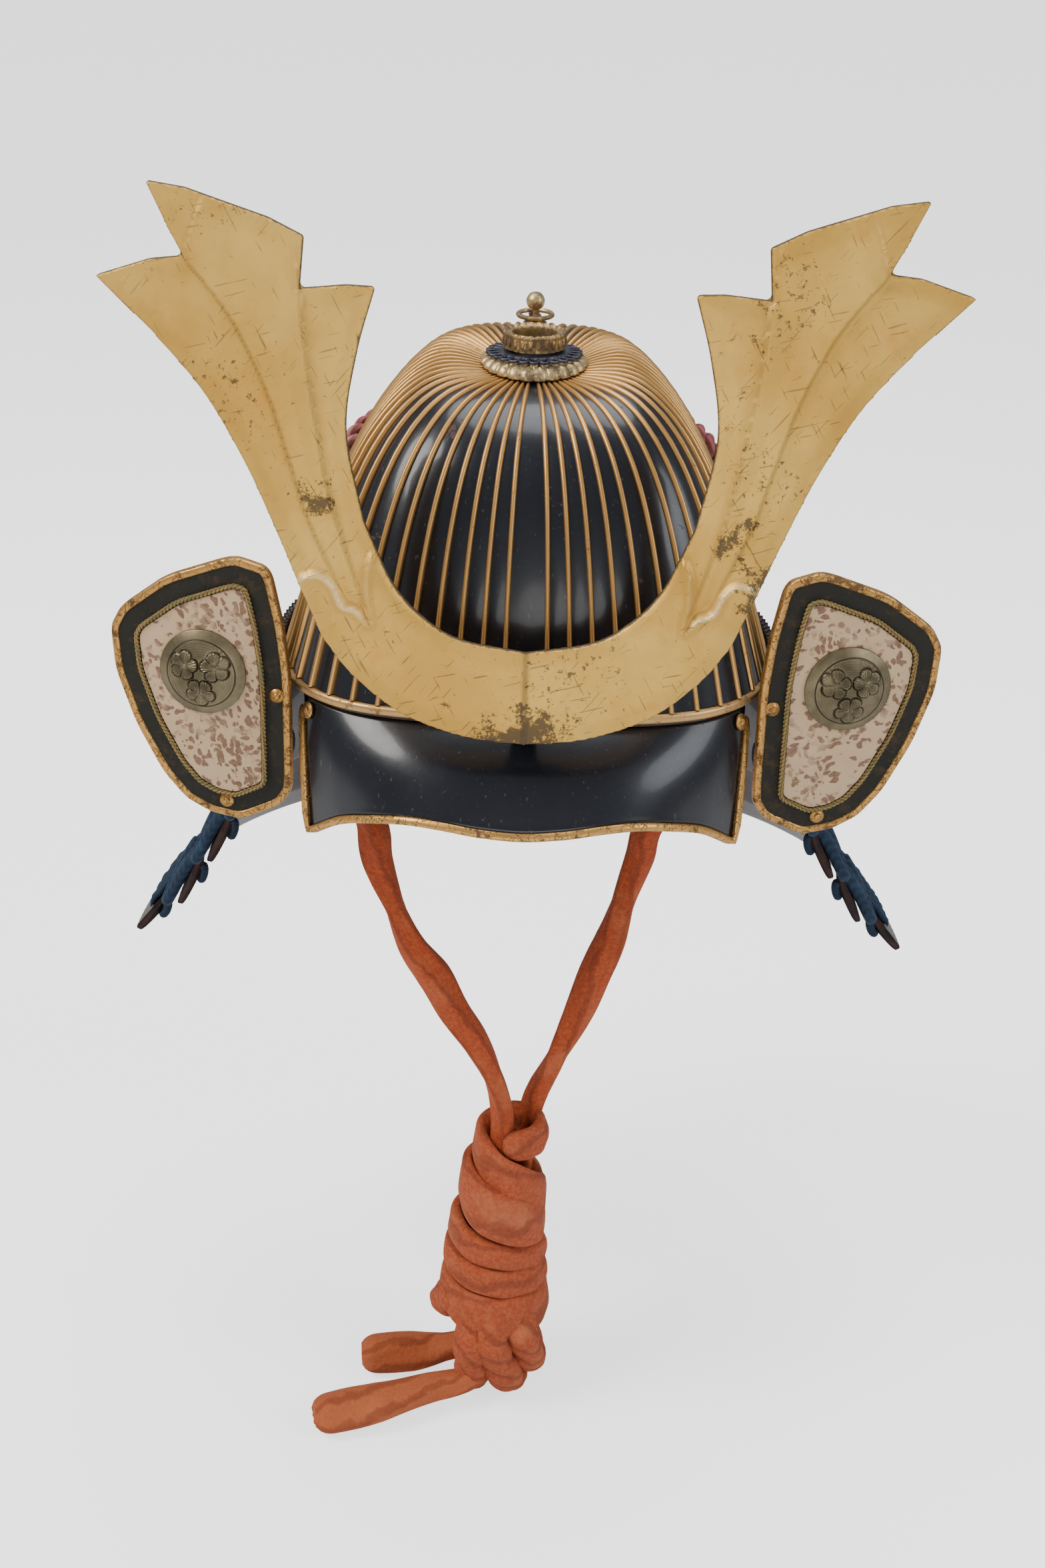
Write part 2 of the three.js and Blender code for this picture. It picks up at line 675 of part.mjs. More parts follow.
function buildTurnback(side, name) {
  const group = new THREE.Group();
  group.position.set(side * turnbackRoot, -turnbackForward, 0);
  group.rotation.z = side * radians(turnbackSweep);
  helmet.add(group);
  const outline = turnbackOutline.map(
    ({ across, up }) => new THREE.Vector2(side * turnbackWidth * across, turnbackFoot + turnbackHeight * up),
  );
  if (THREE.ShapeUtils.isClockWise(outline)) outline.reverse();
  // A flat outline stood upright, with its depth towards the front.
  const slab = (shape, depth, front) => {
    const geometry = new THREE.ExtrudeGeometry(shape, { depth, bevelEnabled: false });
    return geometry.rotateX(Math.PI / 2).translate(0, depth - front, 0);
  };
  const plateFront = turnbackWall;
  const plate = slab(new THREE.Shape(outline), turnbackWall, plateFront);
  place(`turnback_plate_${name}`, plate, "borderLeather", group);

  const panel = offsetOutline(outline, -panelInset);
  const panelFront = plateFront + seatGap + panelThickness;
  const panelSlab = slab(new THREE.Shape(panel), panelThickness, panelFront);
  place(`turnback_panel_${name}`, panelSlab, "panelLeather", group);

  const pipingSides = 5;
  const pipingLine = offsetOutline(panel, pipingRadius + seatGap);
  const pipingOuter = offsetOutline(panel, 2 * pipingRadius + seatGap);
  const pipingFront = plateFront + seatGap + pipingRadius;
  const pipingRings = pipingLine.map((point, i) => {
    const out = pipingOuter[i].clone().sub(point);
    return Array.from({ length: pipingSides }, (_, k) => {
      const turn = ((k + 0.5) / pipingSides) * 2 * Math.PI;
      const spread = Math.cos(turn);
      const depth = pipingRadius * Math.sin(turn);
      return new THREE.Vector3(point.x + out.x * spread, -pipingFront + depth, point.y + out.y * spread);
    });
  });
  place(`turnback_piping_${name}`, loft(pipingRings, true), "twistedSilk", group);

  const rim = new THREE.Shape(offsetOutline(outline, seatGap + turnbackRimWidth));
  rim.holes.push(new THREE.Path(offsetOutline(outline, seatGap)));
  const rimProud = 0.7; // on each face
  const rimSlab = slab(rim, turnbackWall + 2 * rimProud, plateFront + rimProud);
  place(`turnback_rim_${name}`, rimSlab, "gilt", group);

  const domeSteps = 4;
  const bossEdge = 1; // height of its upright edge
  const profile = [new THREE.Vector2(0, 0), new THREE.Vector2(bossRadius, 0)];
  for (let i = 0; i < domeSteps; i++) {
    const turn = (i / domeSteps) * (Math.PI / 2);
    const rise = lerp(bossEdge, bossHeight, Math.sin(turn));
    profile.push(new THREE.Vector2(bossRadius * Math.cos(turn), rise));
  }
  profile.push(new THREE.Vector2(0, bossHeight));
  const dome = new THREE.LatheGeometry(profile, 20);
  const boss = place(`turnback_boss_${name}`, dome, "bossBrass", group);
  boss.rotation.x = Math.PI;
  boss.position.set(
    side * turnbackWidth * bossShare,
    -panelFront - seatGap,
    turnbackFoot + turnbackHeight * bossRise,
  );
}

// A ring of round wire with a straight lug that reaches its seat, as one solid.
function wireRing(radius, wire, lug) {
  const ring = toSolid(new THREE.TorusGeometry(radius, wire, 5, 14));
  return lug ? toGeometry(ring.add(toSolid(lug))) : toGeometry(ring);
}

// Rear stud with a ball head, standing on the crown's rear swell, and the loose ring round its stem.
function buildRearFitting() {
  const seat = bowlPoint(Math.PI, studShare, ribRise(studShare) + seatGap);
  const up = bowlNormal(Math.PI, studShare);
  const group = new THREE.Group();
  group.position.copy(seat);
  group.rotation.x = -Math.atan2(up.y, up.z);
  helmet.add(group);
  const washer = studBallRadius * 1.25;
  const washerTop = 1.4;
  const ballCentre = studStemHeight + studBallRadius * 0.9;
  const profile = [
    new THREE.Vector2(0, 0),
    new THREE.Vector2(washer, 0),
    new THREE.Vector2(washer * 0.8, washerTop),
    new THREE.Vector2(studStemRadius, washerTop),
    new THREE.Vector2(studStemRadius, studStemHeight),
  ];
  for (const degrees of [-30, 5, 45]) {
    const turn = radians(degrees);
    const [out, rise] = [Math.cos(turn), Math.sin(turn)];
    profile.push(new THREE.Vector2(studBallRadius * out, ballCentre + studBallRadius * rise));
  }
  profile.push(new THREE.Vector2(0, ballCentre + studBallRadius));
  const stud = new THREE.LatheGeometry(profile, 12).rotateX(Math.PI / 2);
  place("rear_stud", stud, "gilt", group);
  const ring = place("rear_ring", wireRing(rearRingRadius, rearRingWire), "gilt", group);
  const hang = rearRingRadius - rearRingWire - studStemRadius - seatGap;
  ring.position.set(0, hang, washerTop + seatGap + rearRingWire);
  return group;
}

// A place on the bowl's rear: degrees from the nape, height above the rim and lift off the ribs.
function rearPoint({ turn, height, lift }) {
  const angle = Math.PI - radians(turn);
  const radius = radiusAtHeight(angle, height) + ribHeight + lift;
  return atAngle(angle, radius, height);
}

// Bow: a cord from the ring to a knot, a loop to each side, and two tails with tassels.
const bowKnotHeight = 92;
const bowKnotSize = { wide: 22, deep: 14, tall: 22 };
const bowLoop = [
  { turn: 4.5, height: 98, lift: 8 },
  { turn: 18, height: 102, lift: 8 },
  { turn: 38, height: 96, lift: 7 },
  { turn: 53, height: 89, lift: 8 },
  { turn: 60, height: 81, lift: 9 },
  { turn: 57, height: 71, lift: 9 },
  { turn: 46, height: 69, lift: 8 },
  { turn: 26, height: 77, lift: 8 },
  { turn: 5.7, height: 89.5, lift: 8 },
];
const bowTail = [
  { turn: 2.5, height: 83.5, lift: 8 },
  { turn: 4.8, height: 70, lift: 8 },
  { turn: 7, height: 58, lift: 9 },
  { turn: 7.5, height: 52, lift: 10 },
];

function buildBow(rearFitting) {
  helmet.updateMatrixWorld(true);
  const sides = { left: -1, right: 1 };
  const knotCentre = rearPoint({ turn: 0, height: bowKnotHeight, lift: 8 });
  const { wide, deep, tall } = bowKnotSize;
  const knot = new THREE.SphereGeometry(0.5, 10, 6).scale(wide, deep, tall);
  place("bow_knot", knot, "pinkSilk").position.copy(knotCentre);

  const clearKnot = toSolid(
    new THREE.SphereGeometry(0.5, 10, 6)
      .scale(wide + 2 * seatGap, deep + 2 * seatGap, tall + 2 * seatGap)
      .translate(knotCentre.x, knotCentre.y, knotCentre.z),
  );
  const ringCentre = rearFitting.getObjectByName("rear_ring").getWorldPosition(new THREE.Vector3());
  const dropStart = ringCentre.clone();
  dropStart.y += rearRingRadius + rearRingWire + seatGap;
  const over = rearPoint({ turn: 0, height: 132, lift: 4 });
  const down = rearPoint({ turn: 0, height: 114, lift: 7 });
  const drop = toSolid(tube([dropStart, over, down, knotCentre], bowCordRadius, 8, 5)).subtract(clearKnot);
  place("bow_drop", toGeometry(drop), "pinkSilk");

  for (const [name, side] of Object.entries(sides)) {
    const mirrored = (rows) => rows.map(rearPoint).map((p) => new THREE.Vector3(p.x * side, p.y, p.z));
    const loop = toSolid(tube(mirrored(bowLoop), bowCordRadius, 8, 16)).subtract(clearKnot);
    place(`bow_loop_${name}`, toGeometry(loop), "pinkSilk");
    const tailPoints = mirrored(bowTail);
    const tail = toSolid(tube(tailPoints, bowCordRadius, 8, 4)).subtract(clearKnot);
    place(`bow_tail_${name}`, toGeometry(tail), "pinkSilk");

    // The tassel's locks hang from its bound head.
    const locks = 9;
    const tasselGap = 7 * seatGap;
    const tasselSlant = 11;
    const section = [
      { down: 0, wide: 0.5, fluted: 0 },
      { down: 0.12, wide: 0.72, fluted: 0 },
      { down: 0.2, wide: 0.55, fluted: 0.05 },
      { down: 0.6, wide: 0.95, fluted: 0.12 },
      { down: 1, wide: 1, fluted: 0.2 },
    ];
    const head = tailPoints.at(-1);
    const rings = section.map(({ down, wide: share, fluted }) =>
      Array.from({ length: 2 * locks }, (_, i) => {
        const turn = (i / locks) * Math.PI;
        const radius = tasselRadius * share * (1 - (i % 2) * fluted);
        return new THREE.Vector3(
          head.x + radius * Math.cos(turn),
          head.y + radius * Math.sin(turn) + tasselSlant * down,
          head.z - tasselGap - tasselLength * down,
        );
      }),
    );
    place(`bow_tassel_${name}`, loft(rings), "pinkSilk");
  }
}

// Chin cord. Its rings hang inside the rim, and the cord runs round the nape between them.
const ringTurns = { left: -ringSeat, right: ringSeat, nape: 180 };
const ringRadius = chinCordRadius + cordGap + ringWire;
const ringCentreHeight = -rimBandHeight - 2 * seatGap - ringRadius - ringWire;
const nearRing = 0.06; // radians from a side ring to where the cord's stretches meet

function cordRadiusAt(angle) {
  return planRadius(angle, bowlHalfWidth) - ringDepth;
}

function buildCordRings() {
  for (const [name, turn] of Object.entries(ringTurns)) {
    const angle = radians(turn);
    const reach = ringDepth + 1;
    const lug = new THREE.BoxGeometry(reach, 2 * ringWire, 2 * ringWire);
    lug.translate(reach / 2, ringRadius, 0);
    const geometry = wireRing(ringRadius, ringWire, lug);
    const ring = place(`cord_ring_${name}`, geometry, "darkCopper");
    // The ring's plane holds the plan's radius and the vertical.
    ring.rotation.set(Math.PI / 2, 0, angle - Math.PI / 2, "ZXY");
    ring.position.copy(atAngle(angle, cordRadiusAt(angle), ringCentreHeight));
  }
}

// Points chosen by hand, in millimetres, from the side rings down to the winding.
const leftStrand = [
  [-101.5, -23, -24],
  [-97, -33, -43],
  [-88, -38, -66],
  [-76, -40, -90],
  [-73, -40, -112],
  [-64, -40, -139],
  [-55, -40, -162],
  [-43, -40, -180],
  [-33, -40, -200],
  [-21, -40, -219],
  [-11.5, -40, -240],
  [-7, -40, -258],
  [-6, -38, -274],
];
const rightStrand = [
  [101, -23, -24],
  [95, -32, -43],
  [82, -36, -66],
  [65, -36, -90],
  [61, -35, -109],
  [55, -34, -131],
  [49, -33, -156],
  [41, -31, -180],
  [35, -30, -200],
  [29, -28, -218],
  [20.5, -26, -240],
  [13, -24, -258],
  [9, -23, -274],
];
const frontTail = [
  [-22, -58, -429],
  [-45, -64, -433],
  [-70, -73, -435.5],
  [-90, -80, -436],
  [-108, -87, -436],
];
const rearTail = [
  [-24, -26, -431],
  [-44, -27, -435.5],
  [-64, -30, -436],
  [-86, -33, -436],
];
// Winding: height of each section, its centre and its half-widths across and in depth.
const winding = [
  { height: -270, x: 0, across: 14, deep: 12 },
  { height: -278, x: 1, across: 22, deep: 20 },
  { height: -300, x: -2, across: 25, deep: 23 },
  { height: -330, x: -7, across: 24, deep: 23 },
  { height: -360, x: -8, across: 26, deep: 24 },
  { height: -392, x: -9, across: 30, deep: 26 },
  { height: -412, x: -9, across: 30, deep: 26 },
  { height: -428, x: -6, across: 26, deep: 25 },
  { height: -442, x: -3, across: 17, deep: 17 },
  { height: -447, x: -3, across: 9, deep: 9 },
];
const windingDepth = -34;

function windingSolid(extra) {
  const sides = 14;
  const rings = winding.map(({ height, x, across, deep }, row) =>
    Array.from({ length: sides }, (_, i) => {
      const turn = (i / sides) * 2 * Math.PI;
      const lift = row === 0 ? extra : row === winding.length - 1 ? -extra : 0;
      return new THREE.Vector3(
        x + (across + extra) * Math.cos(turn),
        windingDepth + (deep + extra) * Math.sin(turn),
        height + lift,
      );
    }),
  );
  return toSolid(loft(rings));
}

function buildChinCord() {
  const inner = [];
  const arcPoints = 24;
  const start = radians(ringSeat) + nearRing;
  for (let i = 0; i <= arcPoints; i++) {
    const angle = lerp(start, 2 * Math.PI - start, i / arcPoints);
    inner.push(atAngle(angle, cordRadiusAt(angle), ringCentreHeight));
  }
  place("chin_cord_inner", tube(inner, chinCordRadius, 8, arcPoints), "chinCloth");

  const windingClear = windingSolid(seatGap);
  place("cord_winding", toGeometry(windingSolid(0)), "chinCloth");
  const strands = { left: leftStrand, right: rightStrand };
  for (const [name, rows] of Object.entries(strands)) {
    const side = name === "left" ? -1 : 1;
    const points = rows.map((row) => new THREE.Vector3(...row));
    const [behind, before] = [radians(ringSeat) + nearRing, radians(ringSeat) - nearRing];
    const seat = atAngle(side * behind, cordRadiusAt(behind), ringCentreHeight);
    const onward = atAngle(side * before, cordRadiusAt(behind), ringCentreHeight);
    const away = onward.clone().sub(seat).normalize();
    points.unshift(seat.addScaledVector(away, 2 * seatGap), onward);
    const strand = toSolid(tube(points, chinCordRadius, 8, 16)).subtract(windingClear);
    place(`chin_cord_${name}`, toGeometry(strand), "chinCloth");
  }
  const tails = { front: frontTail, rear: rearTail };
  for (const [name, rows] of Object.entries(tails)) {
    const points = rows.map((row) => new THREE.Vector3(...row));
    const tail = toSolid(tube(points, tailRadius, 8, rows.length + 1)).subtract(windingClear);
    place(`cord_tail_${name}`, toGeometry(tail), "chinCloth");
  }
}

buildBowl();
buildRimBand();
buildCrownFitting();
buildVisor();
buildCrest();
buildCrestPost();
buildNeckGuard();
buildTurnback(-1, "left");
buildTurnback(1, "right");
buildBow(buildRearFitting());
buildCordRings();
buildChinCord();

export default helmet;
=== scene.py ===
"""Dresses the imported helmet: ribbed bowl, gilt fittings, turnbacks, laced guard and cords."""
import contextlib
import math
import random

import bmesh
import bpy
import numpy as np
from mathutils import Matrix, Vector


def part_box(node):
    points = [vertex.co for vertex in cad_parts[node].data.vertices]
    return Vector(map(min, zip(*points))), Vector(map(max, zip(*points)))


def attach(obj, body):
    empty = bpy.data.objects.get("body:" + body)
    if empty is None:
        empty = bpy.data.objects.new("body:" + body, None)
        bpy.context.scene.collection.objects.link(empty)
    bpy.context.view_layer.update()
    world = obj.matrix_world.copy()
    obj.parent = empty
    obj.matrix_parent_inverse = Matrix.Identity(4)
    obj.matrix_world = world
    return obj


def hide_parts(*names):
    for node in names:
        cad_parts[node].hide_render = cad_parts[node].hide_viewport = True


bl_info = {
    "name": "Ribbed samurai helmet",
    "version": (1, 0, 0),
    "blender": (4, 5, 0),
    "location": "View3D > Sidebar > Helmet",
    "description": "Builds the looks of a ribbed helmet with a gilt crest, a laced guard "
                   "and a chin cord",
    "category": "Object",
}

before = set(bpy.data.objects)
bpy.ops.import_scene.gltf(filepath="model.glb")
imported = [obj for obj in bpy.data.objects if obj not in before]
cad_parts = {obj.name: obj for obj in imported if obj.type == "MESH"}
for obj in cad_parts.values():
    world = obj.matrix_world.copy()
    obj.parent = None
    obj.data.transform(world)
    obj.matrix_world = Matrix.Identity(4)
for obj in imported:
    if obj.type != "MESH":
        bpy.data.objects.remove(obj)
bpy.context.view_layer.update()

MM = 0.001
TURN = 2 * math.pi

# Sizes of the solids, in millimetres and degrees.
SEAT_GAP = 0.3
BOWL_HALF_WIDTH, BOWL_FRONT, BOWL_BACK, BOWL_HEIGHT, BOWL_WALL = 117, 106, 125, 133, 2.5
REAR_SWELL = 15
SIDE_TAPER, END_TAPER = 0.36, 0.22
SIDE_SHOULDER, END_SHOULDER = 5, 3.4
BROW_SQUARENESS, NAPE_SQUARENESS = 3.3, 2.2
PLATE_COUNT, FRONT_PLATE_WIDTH = 62, 20
RIB_HEIGHT = 3
RIM_BAND_REACH, RIM_BAND_HEIGHT = 3.2, 5
CROWN_HOLE, CROWN_SEAT, CROWN_SEAT_HEIGHT, PETALS = 10.7, 26, 8, 24
COLLAR_RADIUS, COLLAR_THICKNESS, COLLAR_LOOPS = 23.5, 3, 26
VISOR_SPAN, VISOR_HALF_WIDTH, VISOR_REACH, VISOR_DROP = 55, 101, 138, 67
VISOR_WALL, VISOR_SWELL, VISOR_RIM_WIDTH, VISOR_RIM_THICKNESS = 2.2, 4, 4, 3.4
VISOR_TOP = -RIM_BAND_HEIGHT - 2 * SEAT_GAP - VISOR_WALL / 2
CREST_HALF_SPAN, CREST_HEIGHT, CREST_THICKNESS = 183.7, 239.3, 6
CREST_LEAN, CREST_FORWARD = 6, 145
LAME_WALL, LAME_OVERLAP = 2.4, 7
TURNBACK_ROOT, TURNBACK_FORWARD, TURNBACK_SWEEP = 113, 82, 10
TURNBACK_WIDTH, TURNBACK_HEIGHT, TURNBACK_FOOT, TURNBACK_WALL = 81, 127, -67, 4
TURNBACK_RIM, RIM_PROUD, PANEL_INSET, PANEL_THICKNESS, PIPING = 3, 0.7, 11, 1.2, 1.2
BOSS_RADIUS, BOSS_HEIGHT, BOSS_ACROSS, BOSS_UP = 21, 7, 0.47, 0.575
BOW_CORD, TASSEL_RADIUS, TASSEL_LENGTH, TASSEL_SLANT, TASSEL_GAP = 4, 9, 44, 11, 2.1
CHIN_CORD, RING_CLEARANCE, RING_WIRE, RING_SEAT, RING_DEPTH = 7, 1, 1.5, 88, 14
RING_RADIUS = CHIN_CORD + RING_CLEARANCE + RING_WIRE
RING_HEIGHT = -RIM_BAND_HEIGHT - 2 * SEAT_GAP - RING_RADIUS - RING_WIRE
NEAR_RING = 0.06  # radians from a side ring to where the cord's stretches meet
RING_TURNS = {"left": -RING_SEAT, "right": RING_SEAT, "nape": 180}
RING_STEPS = 48
WINDING_DEPTH = -34
STEP = 1e-3  # of the parameters of a surface, to either side, for its directions


# --- Shader expressions -------------------------------------------------------------------------

class Value:
    """A shader socket that takes part in sums; each operation adds one Math node."""

    def __init__(self, paint, socket):
        self.paint, self.socket = paint, socket

    def math(self, operation, *others):
        values = dict(enumerate((self, *others)))
        return self.paint.node("ShaderNodeMath", values, operation=operation)

    def __add__(self, other):
        return self.math("ADD", other)

    def __sub__(self, other):
        return self.math("SUBTRACT", other)

    def __mul__(self, other):
        return self.math("MULTIPLY", other)

    def __rsub__(self, other):
        return self.paint.node("ShaderNodeMath", {0: other, 1: self}, operation="SUBTRACT")

    __radd__, __rmul__ = __add__, __mul__

    def smooth(self, low, high):
        """0 below low, 1 above high, and a smooth step between."""
        values = {0: self, 1: low, 2: high}
        return self.paint.node("ShaderNodeMapRange", values, interpolation_type="SMOOTHSTEP")

    def sine(self):
        return self.math("SINE")

    def size(self):
        return self.math("ABSOLUTE")


class Paint:
    """A material under way. Uniform values are set on the shader; what varies is linked to it."""

    def __init__(self, name, **uniform):
        self.material = bpy.data.materials.new(name)
        self.material.use_nodes = True
        self.nodes = self.material.node_tree.nodes
        self.links = self.material.node_tree.links
        self.shader = self.nodes["Principled BSDF"]
        for socket, value in uniform.items():
            self.shader.inputs[socket.replace("_", " ")].default_value = value

    def node(self, kind, inputs, out=0, **settings):
        """Adds any node: its settings first, then the value or link of each socket."""
        made = self.nodes.new(kind)
        for name, setting in settings.items():
            setattr(made, name, setting)
        for key, value in inputs.items():
            if isinstance(value, Value):
                self.links.new(value.socket, made.inputs[key])
            else:
                made.inputs[key].default_value = value
        return Value(self, made.outputs[out])

    def object_place(self, scale=(1, 1, 1), turn=(0, 0, 0)):
        place = self.node("ShaderNodeTexCoord", {}, out="Object")
        place = self.node("ShaderNodeMapping", {"Vector": place, "Rotation": turn})
        return self.node("ShaderNodeMapping", {"Vector": place, "Scale": scale})

    def uv(self):
        """The shares along and round a piece, from its UV map."""
        place = self.node("ShaderNodeTexCoord", {}, out="UV")
        parts = self.node("ShaderNodeSeparateXYZ", {0: place})
        return parts, Value(self, parts.socket.node.outputs[1])

    def noise(self, place, scale, detail=3.0, roughness=0.55, distortion=0.0):
        values = {"Vector": place, "Scale": scale, "Detail": detail, "Roughness": roughness,
                  "Distortion": distortion}
        return self.node("ShaderNodeTexNoise", values)

    def cells(self, place, scale, randomness=1.0):
        values = {"Vector": place, "Scale": scale, "Randomness": randomness}
        return self.node("ShaderNodeTexVoronoi", values)

    def attribute(self, name):
        return self.node("ShaderNodeAttribute", {}, out="Fac", attribute_name=name)

    def mix(self, factor, first, second):
        """A colour between two others."""
        first, second = (v if isinstance(v, Value) else (*v, 1) for v in (first, second))
        return self.node("ShaderNodeMix", {0: factor, 6: first, 7: second}, out=2, data_type="RGBA")

    def set(self, **varying):
        for socket, value in varying.items():
            self.links.new(value.socket, self.shader.inputs[socket.replace("_", " ")])

    def bump(self, height, depth):
        """Relief of a depth in millimetres."""
        values = {"Height": height, "Distance": depth * MM, "Strength": 1.0}
        self.set(Normal=self.node("ShaderNodeBump", values))


# --- Mesh helpers -------------------------------------------------------------------------------

def smooth_step(x, low, high):
    t = np.clip((x - low) / (high - low), 0, 1)
    return t * t * (3 - 2 * t)


def spread(value, like):
    return np.broadcast_to(np.asarray(value, float), np.shape(like))


def vectors(x, y, z):
    """Stacks three numbers or arrays as rows of points."""
    x, y, z = np.broadcast_arrays(np.asarray(x, float), np.asarray(y, float), np.asarray(z, float))
    return np.stack([x, y, z], -1)


def unit(rows):
    return rows / np.maximum(np.linalg.norm(rows, axis=-1, keepdims=True), 1e-9)


def power(wave, exponent):
    """A wave with its sign, made squarer by an exponent under 1."""
    return np.sign(wave) * np.abs(wave) ** exponent


def round_off(shares):
    """Factor of a section that closes round, from 0 at an end to 1 where the shares reach 1."""
    return np.sqrt(np.clip(1 - (1 - np.minimum(shares, 1)) ** 2, 0, 1))


def circle(count):
    return np.arange(count) * TURN / count


def through(rows, at):
    """Points at shares of the way along a smooth curve through the rows."""
    rows = np.asarray(rows, float)
    at = np.clip(np.asarray(at, float), 0, 1) * (len(rows) - 1)
    i = np.minimum(at.astype(int), len(rows) - 2)
    t = (at - i)[..., None]
    last = len(rows) - 1
    before = np.where((i > 0)[..., None], rows[np.maximum(i - 1, 0)], 2 * rows[0] - rows[1])
    after = np.where((i + 2 <= last)[..., None], rows[np.minimum(i + 2, last)],
                     2 * rows[last] - rows[last - 1])
    p1, p2 = rows[i], rows[i + 1]
    return 0.5 * (2 * p1 + (p2 - before) * t + (2 * before - 5 * p1 + 4 * p2 - after) * t**2
                  + (3 * p1 - before - 3 * p2 + after) * t**3)


def even(rows, count, closed=False):
    """The same line with points at even distances."""
    rows = np.asarray(rows, float)
    if closed:
        rows = np.vstack([rows, rows[:1]])
    steps = np.concatenate([[0], np.cumsum(np.linalg.norm(np.diff(rows, axis=0), axis=1))])
    at = np.linspace(0, steps[-1], count + 1 if closed else count)
    found = np.stack([np.interp(at, steps, rows[:, k]) for k in range(3)], -1)
    return found[:-1] if closed else found


def curve(rows, count, fine):
    """Even points on a smooth curve through the rows, from fine steps."""
    return even(through(rows, np.linspace(0, 1, fine)), count)


def line_length(rows):
    return float(np.linalg.norm(np.diff(rows, axis=0), axis=1).sum())


def frames(rows, closed=False):
    """Two directions across a line at each point, which don't twist on the way."""
    if closed:
        along = unit(np.roll(rows, -1, axis=0) - np.roll(rows, 1, axis=0))
    else:
        along = unit(np.gradient(rows, axis=0))
    side = np.empty_like(rows)
    start = np.array([0.0, 0.0, 1.0]) if abs(along[0][2]) < 0.9 else np.array([1.0, 0.0, 0.0])
    side[0] = unit(np.cross(along[0], start))
    for i in range(1, len(rows)):
        kept = side[i - 1] - along[i] * side[i - 1].dot(along[i])
        side[i] = unit(kept)
    if closed:
        # The turn that the closing leaves is shared out along the line.
        kept = side[-1] - along[0] * side[-1].dot(along[0])
        kept = unit(kept)
        error = math.atan2(np.cross(kept, side[0]).dot(along[0]), kept.dot(side[0]))
        turns = np.linspace(0, error, len(rows))[:, None]
        other = np.cross(along, side)
        side = side * np.cos(turns) + other * np.sin(turns)
    return side, np.cross(along, side)


def grids(name, count, columns, rows, place):
    """One mesh of equal grids. place(u, v, number) puts their points, in millimetres, from arrays
    that run from 0 to 1 and the grid's number; the UV map keeps u and v."""
    mesh = bpy.data.meshes.new(name)
    with editing(mesh) as bm:
        bm.loops.layers.uv.new("UVMap")
        for _ in range(count):
            bmesh.ops.create_grid(bm, x_segments=columns, y_segments=rows, size=0.5, calc_uvs=True)
    flat = np.round(get_points(mesh) * MM + 0.5, 6)
    number = np.repeat(np.arange(count), len(flat) // count)
    set_points(mesh, place(flat[:, 0], flat[:, 1], number))
    return mesh


@contextlib.contextmanager
def editing(mesh):
    """Lends a mesh for changes, which come back to it."""
    bm = bmesh.new()
    bm.from_mesh(mesh)
    yield bm
    bm.to_mesh(mesh)
    bm.free()


def get_points(mesh):
    """The points of a mesh, in millimetres."""
    flat = np.empty(3 * len(mesh.vertices))
    mesh.vertices.foreach_get("co", flat)
    return flat.reshape(-1, 3) / MM


def set_points(mesh, points):
    mesh.vertices.foreach_set("co", (np.asarray(points, float) * MM).ravel())
    mesh.update()


def weld(mesh, reach=0.02):
    """Joins points within a reach, and turns the faces out."""
    with editing(mesh) as bm:
        bmesh.ops.remove_doubles(bm, verts=bm.verts, dist=reach * MM)
        bmesh.ops.dissolve_degenerate(bm, edges=bm.edges, dist=reach * MM / 4)
        bmesh.ops.recalc_face_normals(bm, faces=bm.faces)
    return mesh


def thicken(mesh, thickness):
    """Gives a sheet its wall, on the side away from its faces."""
    with editing(mesh) as bm:
        bmesh.ops.solidify(bm, geom=bm.faces[:], thickness=thickness * MM)
    return mesh


def put_values(mesh, name, values):
    """Keeps a number at each point of a mesh, which its material reads."""
    layer = mesh.attributes.new(name, "FLOAT", "POINT")
    layer.data.foreach_set("value", np.asarray(values, np.float32))


def show(name, data):
    made = bpy.data.objects.new(name, data)
    bpy.context.collection.objects.link(made)
    return made


def piece(name, mesh, material, slot, *replaced, smooth=True):
    """Shows a finished mesh as a piece of the helmet."""
    made = show(name, mesh)
    mesh.materials.append(material)
    if smooth:
        mesh.shade_smooth()
    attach(made, "root")
    if replaced:
        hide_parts(*replaced)
    return made


def crease(mesh, degrees):
    """Keeps edges sharper than an angle."""
    mesh.shade_smooth()
    mesh.set_sharp_from_angle(angle=math.radians(degrees))


def joined(name, meshes):
    """One mesh of several."""
    made = bpy.data.meshes.new(name)
    with editing(made) as bm:
        for mesh in meshes:
            bm.from_mesh(mesh)
    return made


